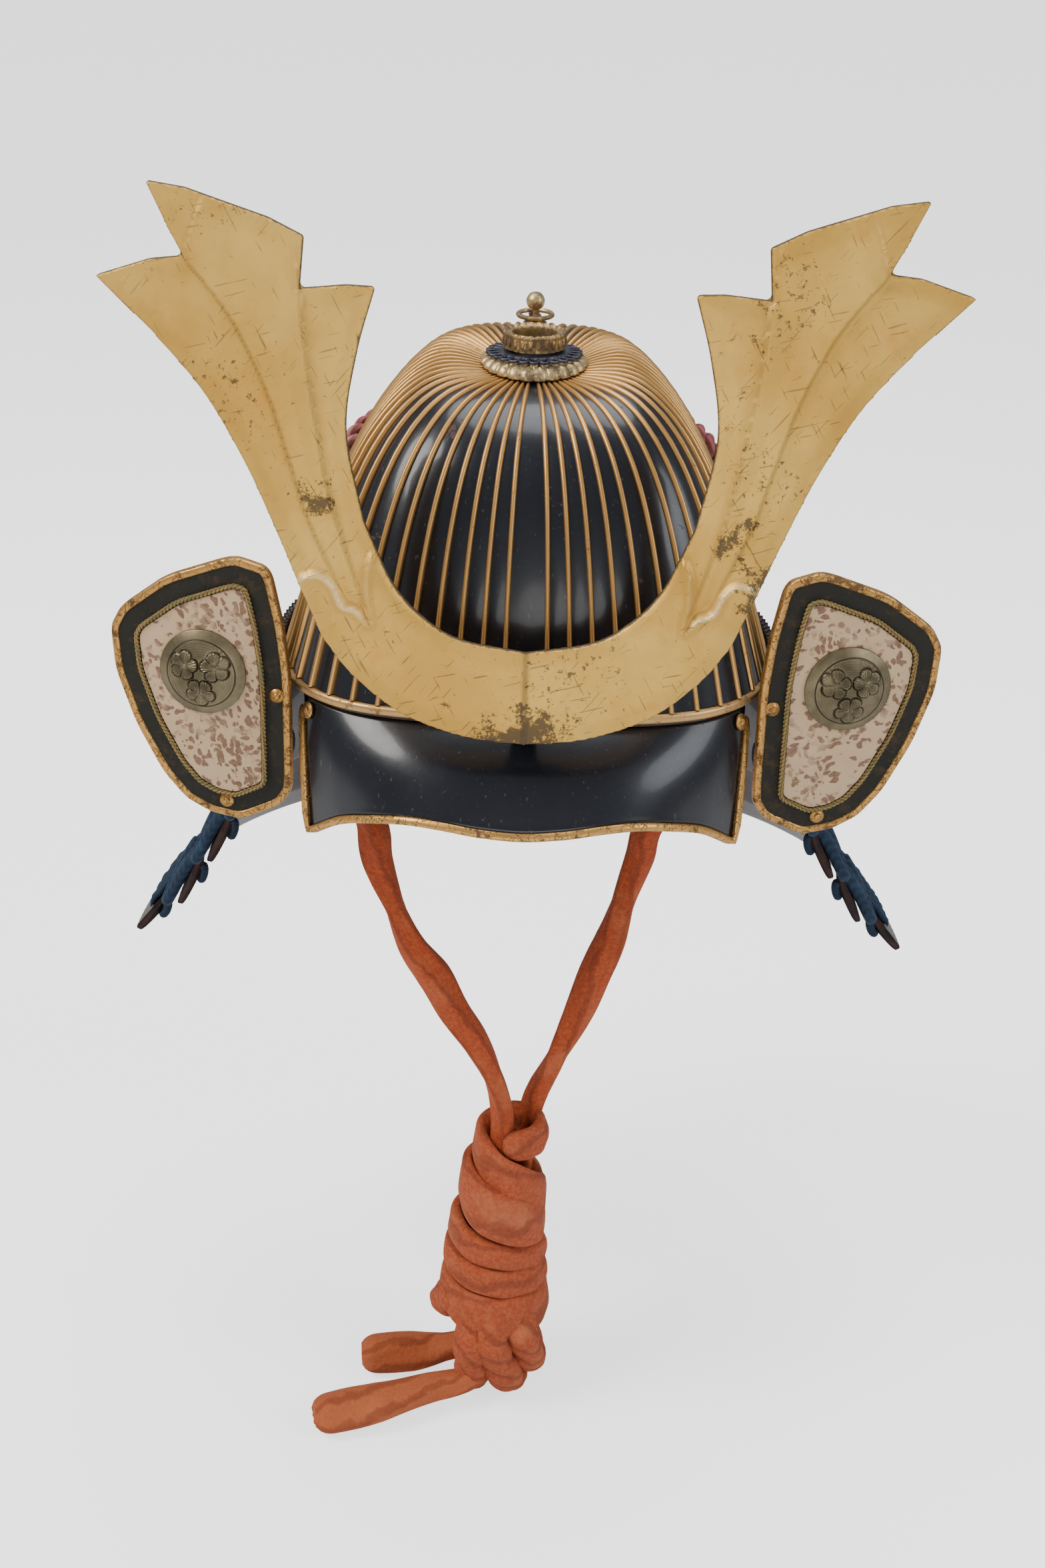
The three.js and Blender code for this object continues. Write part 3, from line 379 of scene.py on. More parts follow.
def rod(name, lines, radius, sides=10, steps=None, closed=False, round_ends=True, flat=1.0):
    """Round tubes along lines of even points. radius is a number or a function of the share along,
    the turn round the line and the line's number."""
    lines = [np.asarray(line, float) for line in lines]
    steps = steps or len(lines[0]) - (0 if closed else 1)
    tables = []
    for line in lines:
        side, other = frames(line, closed)
        if closed:
            line, side, other = (np.vstack([a, a[:1]]) for a in (line, side, other))
        tables.append((line, side, other))
    line, side, other = (np.stack(t) for t in zip(*tables))
    last = line.shape[1] - 1
    lengths = np.array([line_length(row) for row in line])

    def place(u, v, number):
        at = np.clip(u, 0, 1) * last
        i = np.minimum(at.astype(int), last - 1)
        t = (at - i)[:, None]
        pick = lambda table: table[number, i] * (1 - t) + table[number, i + 1] * t
        turn = TURN * v
        reach = radius(u, turn, number) if callable(radius) else spread(radius, u).copy()
        if round_ends and not closed:
            ends = np.minimum(u, 1 - u) * lengths[number]
            reach = reach * round_off(ends / np.maximum(reach, 1e-6))
        across = unit(pick(side)) * (np.cos(turn) * reach)[:, None]
        return pick(line) + across + unit(pick(other)) * (np.sin(turn) * reach * flat)[:, None]

    return weld(grids(name, len(lines), steps, sides, place))


def strip(name, steps, sides, tables, shape):
    """A band along a line. tables are the line and two directions across it, row by row;
    shape(u, turn) gives how far the band reaches each way."""
    last = len(tables[0]) - 1

    def place(u, v, number):
        at = np.clip(u, 0, 1) * last
        line, side, other = (np.stack([np.interp(at, np.arange(last + 1), table[:, k])
                                       for k in range(3)], -1) for table in tables)
        across, rise = shape(u, TURN * v)
        return line + side * across[:, None] + other * rise[:, None]

    return weld(grids(name, 1, steps, sides, place))


# --- The helmet's own curves, in millimetres ----------------------------------------------------

def plan_radius(angle):
    """Radius of the rim's plan at an angle from the brow."""
    facing = np.cos(angle)
    length = np.where(facing > 0, BOWL_FRONT, BOWL_BACK)
    squareness = np.where(facing > 0, BROW_SQUARENESS, NAPE_SQUARENESS)
    across, along = np.abs(np.sin(angle)) / BOWL_HALF_WIDTH, np.abs(facing) / length
    return (across**squareness + along**squareness) ** (-1 / squareness)


def at_angle(angle, radius, height):
    return vectors(radius * np.sin(angle), -radius * np.cos(angle), height)


def surface_normal(surface, u, v):
    along = surface(u + STEP, v) - surface(u - STEP, v)
    across = surface(u, v + STEP) - surface(u, v - STEP)
    return unit(np.cross(along, across))


def at_spot(place, *at):
    """One row of a function of arrays, for plain numbers."""
    return place(*(np.array([value]) for value in at))[0]


def bowl_surface(angle, share):
    """The bowl's skin without its ribs, at a share of the way up from the rim."""
    sideways = np.sin(angle) ** 2
    shoulder = END_SHOULDER + (SIDE_SHOULDER - END_SHOULDER) * sideways
    taper = END_TAPER + (SIDE_TAPER - END_TAPER) * sideways
    turn = np.clip(share, 0, 1) * math.pi / 2
    rise = np.sin(turn) ** (2 / shoulder)
    narrow = np.cos(turn) ** (2 / shoulder)
    swell = REAR_SWELL * (1 - np.cos(angle)) / 2
    bump = smooth_step(narrow, 0.12, 0.6) * (1 - smooth_step(narrow, 0.6, 1))
    radius = plan_radius(angle) * (1 - taper * rise) * narrow
    return at_angle(angle, radius, BOWL_HEIGHT * rise + swell * bump)


def bowl_point(angle, share, lift):
    """A point lifted off the bowl's skin, whose foot stays at the rim's height."""
    normal = surface_normal(bowl_surface, angle, np.clip(share, 2 * STEP, 1 - 3 * STEP))
    found = bowl_surface(angle, share) + normal * spread(lift, angle)[..., None]
    found[..., 2] = np.where(np.asarray(share) <= 0, 0, found[..., 2])
    return found


def rib_rise(share):
    return RIB_HEIGHT * (1 - 0.55 * share)


def rib_angle(number):
    """Angle from the brow to a rib, which the front plate's half-width comes before."""
    half = math.asin(FRONT_PLATE_WIDTH / 2 / BOWL_FRONT)
    pitch = (TURN - 2 * half) / (PLATE_COUNT - 1)
    number = np.asarray(number, float)
    return np.where(number <= PLATE_COUNT - 1, half + number * pitch,
                    TURN - half + (number - PLATE_COUNT + 1) * 2 * half)


def rear_point(turn, height, lift):
    """A place behind the bowl: degrees from the nape, height, and lift off the ribs."""
    angle = math.pi - math.radians(turn)
    shares = np.linspace(0, 0.75, 400)
    heights = bowl_surface(np.full(400, angle), shares)
    share = np.interp(height, heights[:, 2], shares)
    point = at_spot(bowl_surface, angle, share)
    return at_angle(angle, math.hypot(point[0], point[1]) + RIB_HEIGHT + lift, height)


# --- Finishes -----------------------------------------------------------------------------------

def paint_lacquer(name, base, chips=0.66):
    """Old black lacquer: a painted blue sheen in its base colour, fine dust, scratches and chips
    down to a brown ground.
    """
    paint = Paint(name, Coat_Roughness=0.12, Specular_IOR_Level=0.4)
    place = paint.object_place()
    cloud = paint.noise(place, 45, 4)
    fine = paint.noise(place, 420, 3)
    hair = paint.noise(paint.object_place((1, 1, 0.12)), 700, 2)
    scratch = hair.smooth(0.66, 0.74)
    chip = paint.noise(place, 62, 5, 0.62) + paint.noise(place, 240, 2) * 0.12
    chip = chip.smooth(chips + 0.06, chips + 0.085)
    # The base colour's blue tint is painted sheen; the clouds darken and pale it at random.
    dark = paint.mix(cloud, [c * 0.6 for c in base], [c * 1.5 for c in base])
    worn = paint.mix(scratch * 0.35, dark, (0.12, 0.11, 0.11))
    paint.set(Base_Color=paint.mix(chip, worn, (0.075, 0.03, 0.018)),
              Roughness=0.2 + cloud * 0.12 + fine * 0.1 + chip * 0.35,
              Coat_Weight=0.32 - chip * 0.3)
    paint.bump(fine * 0.25 - chip * 1.0 + cloud * 0.4, 0.12)
    return paint.material


def paint_gilt(name, base=(0.72, 0.42, 0.16), dark=(0.16, 0.075, 0.03), wear=0.6, relief=None):
    """Fire gilding over copper, rubbed brown in places; relief adds an engraving's height."""
    paint = Paint(name, Specular_IOR_Level=0.5)
    place = paint.object_place()
    cloud = paint.noise(place, 130, 5, 0.65)
    fine = paint.noise(place, 900, 3)
    rub = (cloud + fine * 0.25).smooth(wear + 0.08, wear + 0.2)
    deeper = [part * share for part, share in zip(base, (0.82, 0.78, 0.72))]
    tone = paint.mix(paint.noise(place, 38, 3), base, deeper)
    height = fine * 0.3
    if relief:
        line = relief(paint)
        tone = paint.mix(line * 0.9, tone, dark)
        height = height - line * 1.6
    paint.set(Base_Color=paint.mix(rub * 0.85, tone, dark),
              Metallic=0.92 - rub * 0.5,
              Roughness=0.34 + cloud * 0.14 + rub * 0.2)
    paint.bump(height, 0.16)
    return paint.material


def scroll_relief(density):
    """Fine curling lines, cut shallow, as an engraver fills a band."""
    def relief(paint):
        place = paint.object_place()
        bend = paint.noise(place, density * 0.5, 2, 0.4, 1.6)
        rings = (bend * 15).sine().size().smooth(0.0, 0.42)
        curls = paint.cells(place, density).smooth(0.02, 0.1)
        return (1 - rings) * 0.8 + (1 - curls) * 0.5
    return relief


def paint_leaf(name):
    """Gold leaf over lacquered wood: warm clouds, hair scratches, dark specks, worn ridges."""
    paint = Paint(name, Specular_IOR_Level=0.5)
    place = paint.object_place()
    cloud = paint.noise(place, 16, 5, 0.6)
    stain = paint.noise(place, 34, 6, 0.7)
    fine = paint.noise(place, 520, 4, 0.7)
    tone = paint.mix(cloud.smooth(0.35, 0.7), (0.58, 0.32, 0.05), (0.74, 0.46, 0.1))
    # The cup's lip is paled to a light gold: a painted highlight, and partly rubbed wear.
    tone = paint.mix(paint.attribute("lip") * 0.75, tone, (0.95, 0.74, 0.4))
    tone = paint.mix(stain.smooth(0.56, 0.74) * 0.6, tone, (0.62, 0.25, 0.03))
    hairs = [paint.noise(paint.object_place(scale, turn), 130, 1, 0.3).smooth(0.735, 0.75)
             for scale, turn in (((9, 1, 0.5), (0, 0.5, 0)), ((0.5, 1, 8), (0, 0.25, 0)),
                                 ((10, 1, 0.45), (0, -0.7, 0)))]
    hair = hairs[0] + hairs[1] + hairs[2]
    field = paint.noise(place, 21, 3, 0.5).smooth(0.5, 0.66)
    speck = (paint.noise(place, 330, 4, 0.75) + field * 0.09).smooth(0.67, 0.71)
    patch = paint.noise(place, 75, 8, 0.85) + fine * 0.22 + paint.attribute("stain") * 0.16
    patch = patch.smooth(0.745, 0.78)
    edge = paint.attribute("edge")
    crack = paint.attribute("crack")
    worn = (edge + fine * 0.35).smooth(0.98, 1.12)
    dark = (speck * 0.85 + patch * 0.95 + hair * 0.55 + crack + worn).math("MINIMUM", 1)
    paint.set(Base_Color=paint.mix(dark * 0.9, tone, (0.03, 0.018, 0.012)),
              Metallic=0.55 - dark * 0.5,
              Roughness=0.4 + cloud * 0.12 + fine * 0.1 + dark * 0.2)
    paint.bump(fine * 0.35 - dark * 0.8 + cloud * 0.5, 0.14)
    return paint.material


def paint_plain(name, base, other, scale, roughness, metallic=0.0, depth=0.15, cut=None, **uniform):
    """Two mingled tones with a fine grain; cut is a painted shade in the lines that are cut into
    it.
    """
    paint = Paint(name, Metallic=metallic, **uniform)
    place = paint.object_place()
    cloud = paint.noise(place, scale, 5, 0.65)
    fine = paint.noise(place, scale * 9, 3)
    tone = paint.mix(cloud.smooth(0.35, 0.65), base, other)
    if cut:
        tone = paint.mix(paint.attribute("cut"), tone, cut)
    paint.set(Base_Color=tone, Roughness=roughness + fine * 0.2 - 0.1)
    paint.bump(cloud + fine * 0.5, depth)
    return paint.material


def paint_grained_leather(name):
    """Dark leather with a pebbled grain, rubbed brown where it stands high."""
    paint = Paint(name, Specular_IOR_Level=0.3)
    place = paint.object_place()
    grain = paint.cells(place, 620)
    cloud = paint.noise(place, 110, 5, 0.7)
    rub = (cloud + grain * 0.1).smooth(0.55, 0.75)
    tone = paint.mix(paint.noise(place, 38, 3), (0.007, 0.008, 0.006), (0.022, 0.019, 0.012))
    paint.set(Base_Color=paint.mix(rub * 0.6, tone, (0.06, 0.036, 0.016)),
              Roughness=0.62 + cloud * 0.2)
    paint.bump(cloud * 0.8 - grain * 0.7, 0.3)
    return paint.material


def paint_printed_leather(name):
    """Cream leather printed with rows of small maroon-brown leaf flecks."""
    paint = Paint(name, Specular_IOR_Level=0.3)
    place = paint.object_place()
    grain = paint.noise(place, 700, 4, 0.7)
    bend = paint.noise(place, 26, 2)
    sway = paint.node("ShaderNodeTexNoise", {"Vector": place, "Scale": 150, "Detail": 2}, out=1)
    sway = paint.node("ShaderNodeVectorMath", {0: sway, 3: 0.007}, operation="SCALE")
    cream = paint.mix(paint.noise(place, 60, 4), (0.5, 0.34, 0.19), (0.62, 0.45, 0.29))

    def flecks(stretch, turn, scale, randomness, bent, low, high):
        way = paint.node("ShaderNodeVectorMath", {0: paint.object_place(stretch, turn), 1: sway})
        cells = paint.cells(way, scale, randomness)
        return 1 - (cells + (bend - 0.5) * bent).smooth(low, high)

    leaf = flecks((1.0, 1.0, 0.52), (0, 0.45, 0), 330, 0.85, 0.35, 0.37, 0.47)
    stroke = flecks((0.55, 1.0, 1.0), (0, 0.3, 0), 260, 0.9, 0.3, 0.32, 0.42)
    where = paint.noise(place, 32, 2).smooth(0.42, 0.56)
    print_mask = (leaf * where + stroke * (1 - where)) * (0.4 + grain * 0.6)
    paint.set(Base_Color=paint.mix(print_mask.math("MINIMUM", 1), cream, (0.085, 0.02, 0.016)),
              Roughness=0.75 + grain * 0.2)
    paint.bump(grain * 0.6 - print_mask * 0.2, 0.14)
    return paint.material


def silk_tone(paint, wave, light, base, shares, cloud, fuzz, hair):
    """Silk with painted shade between its threads, that pales in clouds."""
    dark, low, high = shares
    # dark is the share of the base colour left in the painted shade between threads.
    tone = paint.mix((wave * 0.5 + 0.5) * (low + hair * 0.5), [c * dark for c in base], base)
    return paint.mix(cloud.smooth(*high) * fuzz, tone, light)


def paint_thread(name, base, light, plies, twist, fuzz=0.35):
    """Twisted thread on a piece whose UV runs along and round it."""
    paint = Paint(name, Sheen_Weight=0.5, Sheen_Roughness=0.4, Sheen_Tint=(*light, 1))
    along, around = paint.uv()
    yarn = ((along * twist + around * plies) * TURN).sine()
    hair = paint.noise(paint.object_place(), 1500, 2)
    cloud = paint.noise(paint.object_place(), 70, 3)
    # The yarn's troughs between plies get painted shade.
    tone = silk_tone(paint, yarn, light, base, (0.45, 0.6, (0.5, 0.72)), cloud, fuzz, hair)
    paint.set(Base_Color=tone, Roughness=0.78 + hair * 0.2)
    paint.bump(yarn * 0.6 + hair * 0.9, 0.3)
    return paint.material


def paint_braid(name, base, light):
    """Flat braided silk lacing: herringbone across each lace."""
    paint = Paint(name, Sheen_Weight=0.5, Sheen_Roughness=0.4, Sheen_Tint=(*light, 1))
    along, around = paint.uv()
    arm = (around * 2 - 1).size()
    chevron = ((along * 15 + arm * 1.6) * TURN).sine()
    hair = paint.noise(paint.object_place(), 1300, 3)
    cloud = paint.noise(paint.object_place(), 55, 4)
    # The herringbone's troughs between strands get painted shade.
    tone = silk_tone(paint, chevron, light, base, (0.4, 0.5, (0.52, 0.75)), cloud, 0.5, hair)
    paint.set(Base_Color=tone, Roughness=0.8 + hair * 0.15)
    paint.bump(chevron * 0.5 + hair, 0.35)
    return paint.material


def paint_crepe(name, base, deep, pale, folds, twist, faded=0.0):
    """Crinkled silk crepe: a fine crinkle, long folds round the cord, painted shade in their
    hollows, faded ends.
    """
    paint = Paint(name, Sheen_Weight=0.4, Sheen_Roughness=0.5, Sheen_Tint=(*pale, 1))
    place = paint.object_place()
    along, around = paint.uv()
    sway = paint.noise(place, 55, 3)
    fold = ((around * folds + along * twist + sway) * TURN).sine() * 0.5 + 0.5
    crinkle = paint.noise(place, 480, 5, 0.7)
    weave = paint.noise(place, 1700, 2)
    cloud = paint.noise(place, 36, 4)
    # The crinkle's hollows take the deep tone: painted shade.
    tone = paint.mix(crinkle.smooth(0.35, 0.68), deep, base)
    tone = paint.mix(cloud.smooth(0.5, 0.75) * 0.5 + weave.smooth(0.5, 0.8) * 0.35, tone, pale)
    tone = paint.mix(along.smooth(0.72, 0.86) * faded, tone, pale)
    # The folds' troughs are darkened further: painted shade.
    tone = paint.mix((1 - fold.smooth(0.0, 0.3)) * 0.45, tone, [c * 0.35 for c in deep])
    paint.set(Base_Color=tone, Roughness=0.82 + weave * 0.15)
    paint.bump(crinkle + weave * 0.35 + fold * 0.6, 0.8)
    return paint.material


# --- Cords --------------------------------------------------------------------------------------

def cord_radius_at(angle):
    return plan_radius(angle) - RING_DEPTH


# Middle lines of the chin cord, from its side rings through the winding and out to the ends.
LEFT_LINE = [
    (-97, -33, -43), (-88, -38, -66), (-76, -40, -90), (-73, -40, -112), (-64, -40, -139),
    (-55, -40, -162), (-43, -40, -180), (-33, -40, -200), (-21, -40, -219), (-11.5, -40, -240),
    (-7, -40, -258), (-6, -38, -274), (-8, -38, -300), (-14, -38, -336), (-16, -38, -372),
    (-16, -40, -402), (-14, -49, -424), (-22, -58, -430), (-45, -64, -433), (-70, -73, -435.5),
    (-90, -80, -436), (-108, -87, -436),
]
RIGHT_LINE = [
    (95, -32, -43), (82, -36, -66), (65, -36, -90), (61, -35, -109), (55, -34, -131),
    (49, -33, -156), (41, -31, -180), (35, -30, -200), (29, -28, -218), (20.5, -26, -240),
    (13, -24, -258), (9, -23, -274), (6, -28, -300), (1, -30, -336), (-2, -30, -372),
    (-4, -26, -402), (-10, -22, -422), (-24, -25, -431), (-44, -27, -435.5), (-64, -30, -436),
    (-86, -33, -436),
]
# Radii along each strand, as (share along, radius).
LEFT_RADII = [(0, 6.6), (0.1, 7.6), (0.2, 8.6), (0.27, 6.4), (0.35, 8.2), (0.45, 7.4), (0.56, 6),
              (0.78, 6), (0.85, 8.5), (0.93, 11.6), (1, 11)]
RIGHT_RADII = [(0, 6.6), (0.1, 7.8), (0.25, 7.6), (0.4, 8), (0.5, 7), (0.58, 6), (0.8, 6),
               (0.87, 8.5), (0.94, 10.6), (1, 10.6)]
# The strands: name, side, middle line, radii, and the solids that each stands for.
STRANDS = [
    ("left", -1, LEFT_LINE, LEFT_RADII, ("chin_cord_left", "cord_tail_front")),
    ("right", 1, RIGHT_LINE, RIGHT_RADII, ("chin_cord_right", "cord_tail_rear")),
]
INNER_CORNER = (101, -23, -24)  # where a strand turns down from its ring
STRAND_FOLDS, STRAND_TWIST = 4, 6
# The winding's turns: quarter turns from the right side over the front, height, half-widths of the
# turn across and in depth, and the band's own width.
WRAPS = [
    (1.25, -283, 11, 10, 16), (0.3, -280, 15, 12, 18), (-1, -279, 15, 13, 22),
    (-2, -285, 16, 14, 23), (-3, -301, 18, 17, 24), (-4, -318, 20, 18, 24),
    (-5, -311, 19, 17, 30), (-6, -309, 21, 19, 29), (-7, -321, 23, 22, 29),
    (-8, -336, 22, 20, 27), (-9, -338, 20, 18, 22), (-10, -339, 23, 21, 19),
    (-11, -347, 23, 21, 18), (-12, -354, 24, 21, 18), (-13, -353, 21, 19, 18),
    (-14, -357, 25, 22, 19), (-15, -364, 25, 23, 19), (-16, -369, 25, 22, 20),
    (-17, -368, 22, 20, 22), (-18, -379, 26, 24, 25), (-19, -386, 27, 26, 27),
    (-20, -387, 27, 24, 27), (-21, -389, 24, 21, 24), (-22, -398, 27, 22, 20),
]
BAND_HALF_THICKNESS = 4.4
# Loops under the winding: where each comes out in front, its lowest point, back and radius.
KNOT_LOOPS = [
    ((-20, -58, -400), (-19, -46, -436), (-16, -24, -404), 9.5),
    ((-10, -60, -398), (1, -46, -437), (0, -26, -402), 9.8),
    ((8, -56, -396), (13, -40, -428), (6, -22, -400), 8.8),
    ((-30, -44, -380), (-36, -30, -397), (-28, -18, -384), 8.5),
]
# The winding's middle across, as (height, place).
WINDING_MIDDLES = [(-447, -3), (-428, -6), (-412, -9), (-392, -9), (-360, -8), (-330, -7),
                   (-300, -2), (-270, 0)]


def long_folds(folds, twist, depth=0.1):
    """Radius factor of cloth that gathers in folds along a cord."""
    def factor(u, turn):
        wave = np.sin(folds * turn + TURN * twist * u)
        slow = 0.07 * np.sin(TURN * 5.3 * u + 1.3) + 0.05 * np.sin(TURN * 9.7 * u + 2 * turn)
        return 1 + depth * wave + slow
    return factor


def cloth_cord(name, rows, sizes, folds, twist, material, flat=0.82):
    """A loose tube of crepe along rows; sizes are (share along, radius) steps."""
    line = curve(rows, 260, 900)
    shares, radii = zip(*sizes)
    gather = long_folds(folds, twist)

    def radius(u, turn, number):
        swell = np.interp(u, shares, radii) * gather(u, turn)
        # A flat tube that turns over on itself on the way.
        lie = turn + TURN * twist / folds * u
        return swell * (1 - (1 - flat) * np.sin(lie) ** 2)

    mesh = rod(name, [line], radius, sides=40, steps=len(line) - 1)
    return piece(name, mesh, material, "rust_cloth"), line


def state_cord(made, line, every, diameter, far_end, lay="hanging", **more):
    line[0] * MM
    line[::every] * MM


def end_gather(mesh, tip, towards, radius):
    """Draws the cloth into a puckered, stitched end."""
    at = get_points(mesh)
    axis = unit(towards)
    from_tip = at - tip
    depth = -from_tip @ axis
    side = from_tip + depth[:, None] * axis
    away = np.linalg.norm(side, axis=1)
    first = unit(np.cross(axis, (0, 0, 1)))
    turn = np.arctan2(side @ np.cross(axis, first), side @ first)
    near = (1 - smooth_step(depth, 0, radius * 0.9)) * (1 - smooth_step(away, 0, radius))
    pucker = near * (2.2 + 1.1 * np.sin(9 * turn) * smooth_step(away, 0.5, 4))
    set_points(mesh, at - axis * pucker[:, None])


class HELMET_OT_chin_cord(bpy.types.Operator):
    """Adds the crepe chin cord: its stretch inside the rim, both strands, winding and ends"""
    bl_idname = "helmet.chin_cord"
    bl_label = "Chin cord"

    def execute(self, context):
        sizes = context.scene.helmet_cords
        # The second colour of each crepe is the deep tone of its painted shade.
        cloth = paint_crepe("rust_crepe", sizes.crepe, (0.3, 0.036, 0.006), (0.56, 0.17, 0.06),
                            STRAND_FOLDS, STRAND_TWIST, 0.45)
        wrapped = paint_crepe("wrapped_crepe", sizes.faded_crepe, (0.33, 0.042, 0.01),
                              (0.58, 0.19, 0.08), 3, 9)
        behind, before = (math.radians(RING_SEAT) + way * NEAR_RING for way in (1, -1))
        nape_turns = np.linspace(behind, TURN - behind, 41)
        inner = [at_angle(a, cord_radius_at(a), RING_HEIGHT) for a in nape_turns]
        made, line = cloth_cord("chin_cord_nape", inner, [(0, 6.6), (1, 6.6)], 5, 3, cloth, 0.95)
        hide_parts("chin_cord_inner")
        state_cord(made, line, 4, 14, "object")
        for name, side, rows, radii, replaced in STRANDS:
            seat, onward = (at_angle(side * angle, cord_radius_at(behind), RING_HEIGHT)
                            for angle in (behind, before))
            corner = np.array(INNER_CORNER) * (side, 1, 1)
            made, line = cloth_cord(f"chin_cord_{name}_strand", [seat, onward, corner, *rows],
                                    radii, STRAND_FOLDS, STRAND_TWIST, cloth)
            end_gather(made.data, line[-1], line[-1] - line[-4], 10)
            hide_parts(*replaced)
            state_cord(made, line, 4, 18, "bare")
        self.wind(wrapped)
        return {"FINISHED"}

    def wind(self, cloth):
        """The folded band that is wound round both strands, and the loops of its knot."""
        turn, height, across, deep, wide = through(np.array(WRAPS, float), np.linspace(0, 1, 500)).T
        angle = turn * math.pi / 2
        out = vectors(np.cos(angle), -np.sin(angle), 0)
        centre = np.interp(height, *zip(*WINDING_MIDDLES))
        line = vectors(centre + across * out[:, 0], WINDING_DEPTH + deep * out[:, 1], height)
        along = unit(np.gradient(line, axis=0))
        outward = unit(out - along * (out * along).sum(1)[:, None])
        upward = np.cross(along, outward)

        def section(u, around):
            width = np.interp(np.clip(u, 0, 1) * (len(line) - 1), np.arange(len(line)), wide) / 2
            ends = round_off(np.minimum(u, 1 - u) * 60)
            ripple = (0.5 * np.sin(TURN * 23 * u + 3 * around)
                      + 0.45 * np.sin(TURN * 41 * u - 4 * around))
            thick = (BAND_HALF_THICKNESS + ripple * 0.8) * ends
            lean = 0.9 * np.sin(TURN * 7 * u)
            return (power(np.cos(around), 0.8) * thick,
                    (width + lean) * power(np.sin(around), 0.75) * ends)

        mesh = strip("chin_cord_winding", 460, 36, (line, outward, upward), section)
        made = piece("chin_cord_winding", mesh, cloth, "rust_cloth", "cord_winding")
        loops = []
        for *places, _ in KNOT_LOOPS:
            top, low, back = np.array(places, float)
            rows = [top + (0, 10, 12), top, (top + low) / 2 + (0, -5, 2), low,
                    (low + back) / 2 + (0, 4, -3), back, back + (0, -6, 12)]
            loops.append(curve(rows, 50, 200))
        radii = np.array([loop[-1] for loop in KNOT_LOOPS])
        gather = long_folds(3, 1, 0.05)
        mesh = rod("knot_loops", loops, lambda u, turn, number: radii[number] * gather(u, turn),
                   sides=32)
        knot = piece("chin_cord_knot_loops", mesh, cloth, "rust_cloth")
        state_cord(made, line, 3, 24, "knot", "coiled", with_pieces=[knot])


class HELMET_OT_cord_rings(bpy.types.Operator):
    """Adds the three wire rings inside the rim that hold the chin cord, each on its shank"""
    bl_idname = "helmet.cord_rings"
    bl_label = "Cord rings"

    def execute(self, context):
        metal = paint_plain("ring_copper", (0.05, 0.036, 0.03), (0.13, 0.08, 0.055), 190, 0.42,
                            0.8, 0.12)
        turn = circle(RING_STEPS)
        for side, degrees in RING_TURNS.items():
            angle = math.radians(degrees)
            radius = cord_radius_at(angle)
            ring = at_angle(angle, radius + RING_RADIUS * np.cos(turn),
                            RING_HEIGHT + RING_RADIUS * np.sin(turn))
            reach = np.linspace(0, RING_DEPTH + 1, 12)
            shank = at_angle(angle, radius + reach, RING_HEIGHT + RING_RADIUS)
            parts = [rod("ring_wire", [ring], RING_WIRE, sides=16, closed=True),
                     rod("ring_shank", [shank], RING_WIRE, sides=16)]
            piece(f"cord_eye_{side}", joined("cord_eye", parts), metal, "dark_copper",
                  f"cord_ring_{side}")
        return {"FINISHED"}


def twisted(name, line, radius, pitch, plies=2, sides=10, closed=False):
    """Plies laid round each other along a line."""
    side, other = frames(line, closed)
    length = line_length(line) + (np.linalg.norm(line[-1] - line[0]) if closed else 0)
    turns = round(length / pitch)
    at = np.arange(len(line)) / (len(line) if closed else len(line) - 1)
    strand = radius / (1 + 1 / math.sin(math.pi / plies)) * (1.12 if plies > 2 else 1.05)
    centre = radius - strand
    lines = []
    for ply in range(plies):
        turn = TURN * (turns * at + ply / plies)
        lines.append(line + side * (centre * np.cos(turn))[:, None]
                     + other * (centre * np.sin(turn))[:, None])
    return rod(name, lines, strand, sides=sides, closed=closed)


# The rear bow: degrees from the nape, height, and lift off the ribs.
BOW_LOOP = [(4.5, 98, 8), (18, 102, 8), (38, 96, 7), (53, 89, 8), (60, 81, 9), (57, 71, 9),
            (46, 69, 8), (26, 77, 8), (5.7, 89.5, 8)]
BOW_TAIL = [(2.5, 83.5, 8), (4.8, 70, 8), (7, 58, 9), (7.5, 52, 10)]
BOW_KNOT_HEIGHT, BOW_PITCH = 92, 15
TASSEL_THREADS = 64
# Shape of a tassel, as (share down, share of its radius): a head, the binding and a bell.
TASSEL_SHAPE = [(0, 0.35), (0.12, 0.66), (0.2, 0.5), (0.6, 0.86), (1, 0.9)]


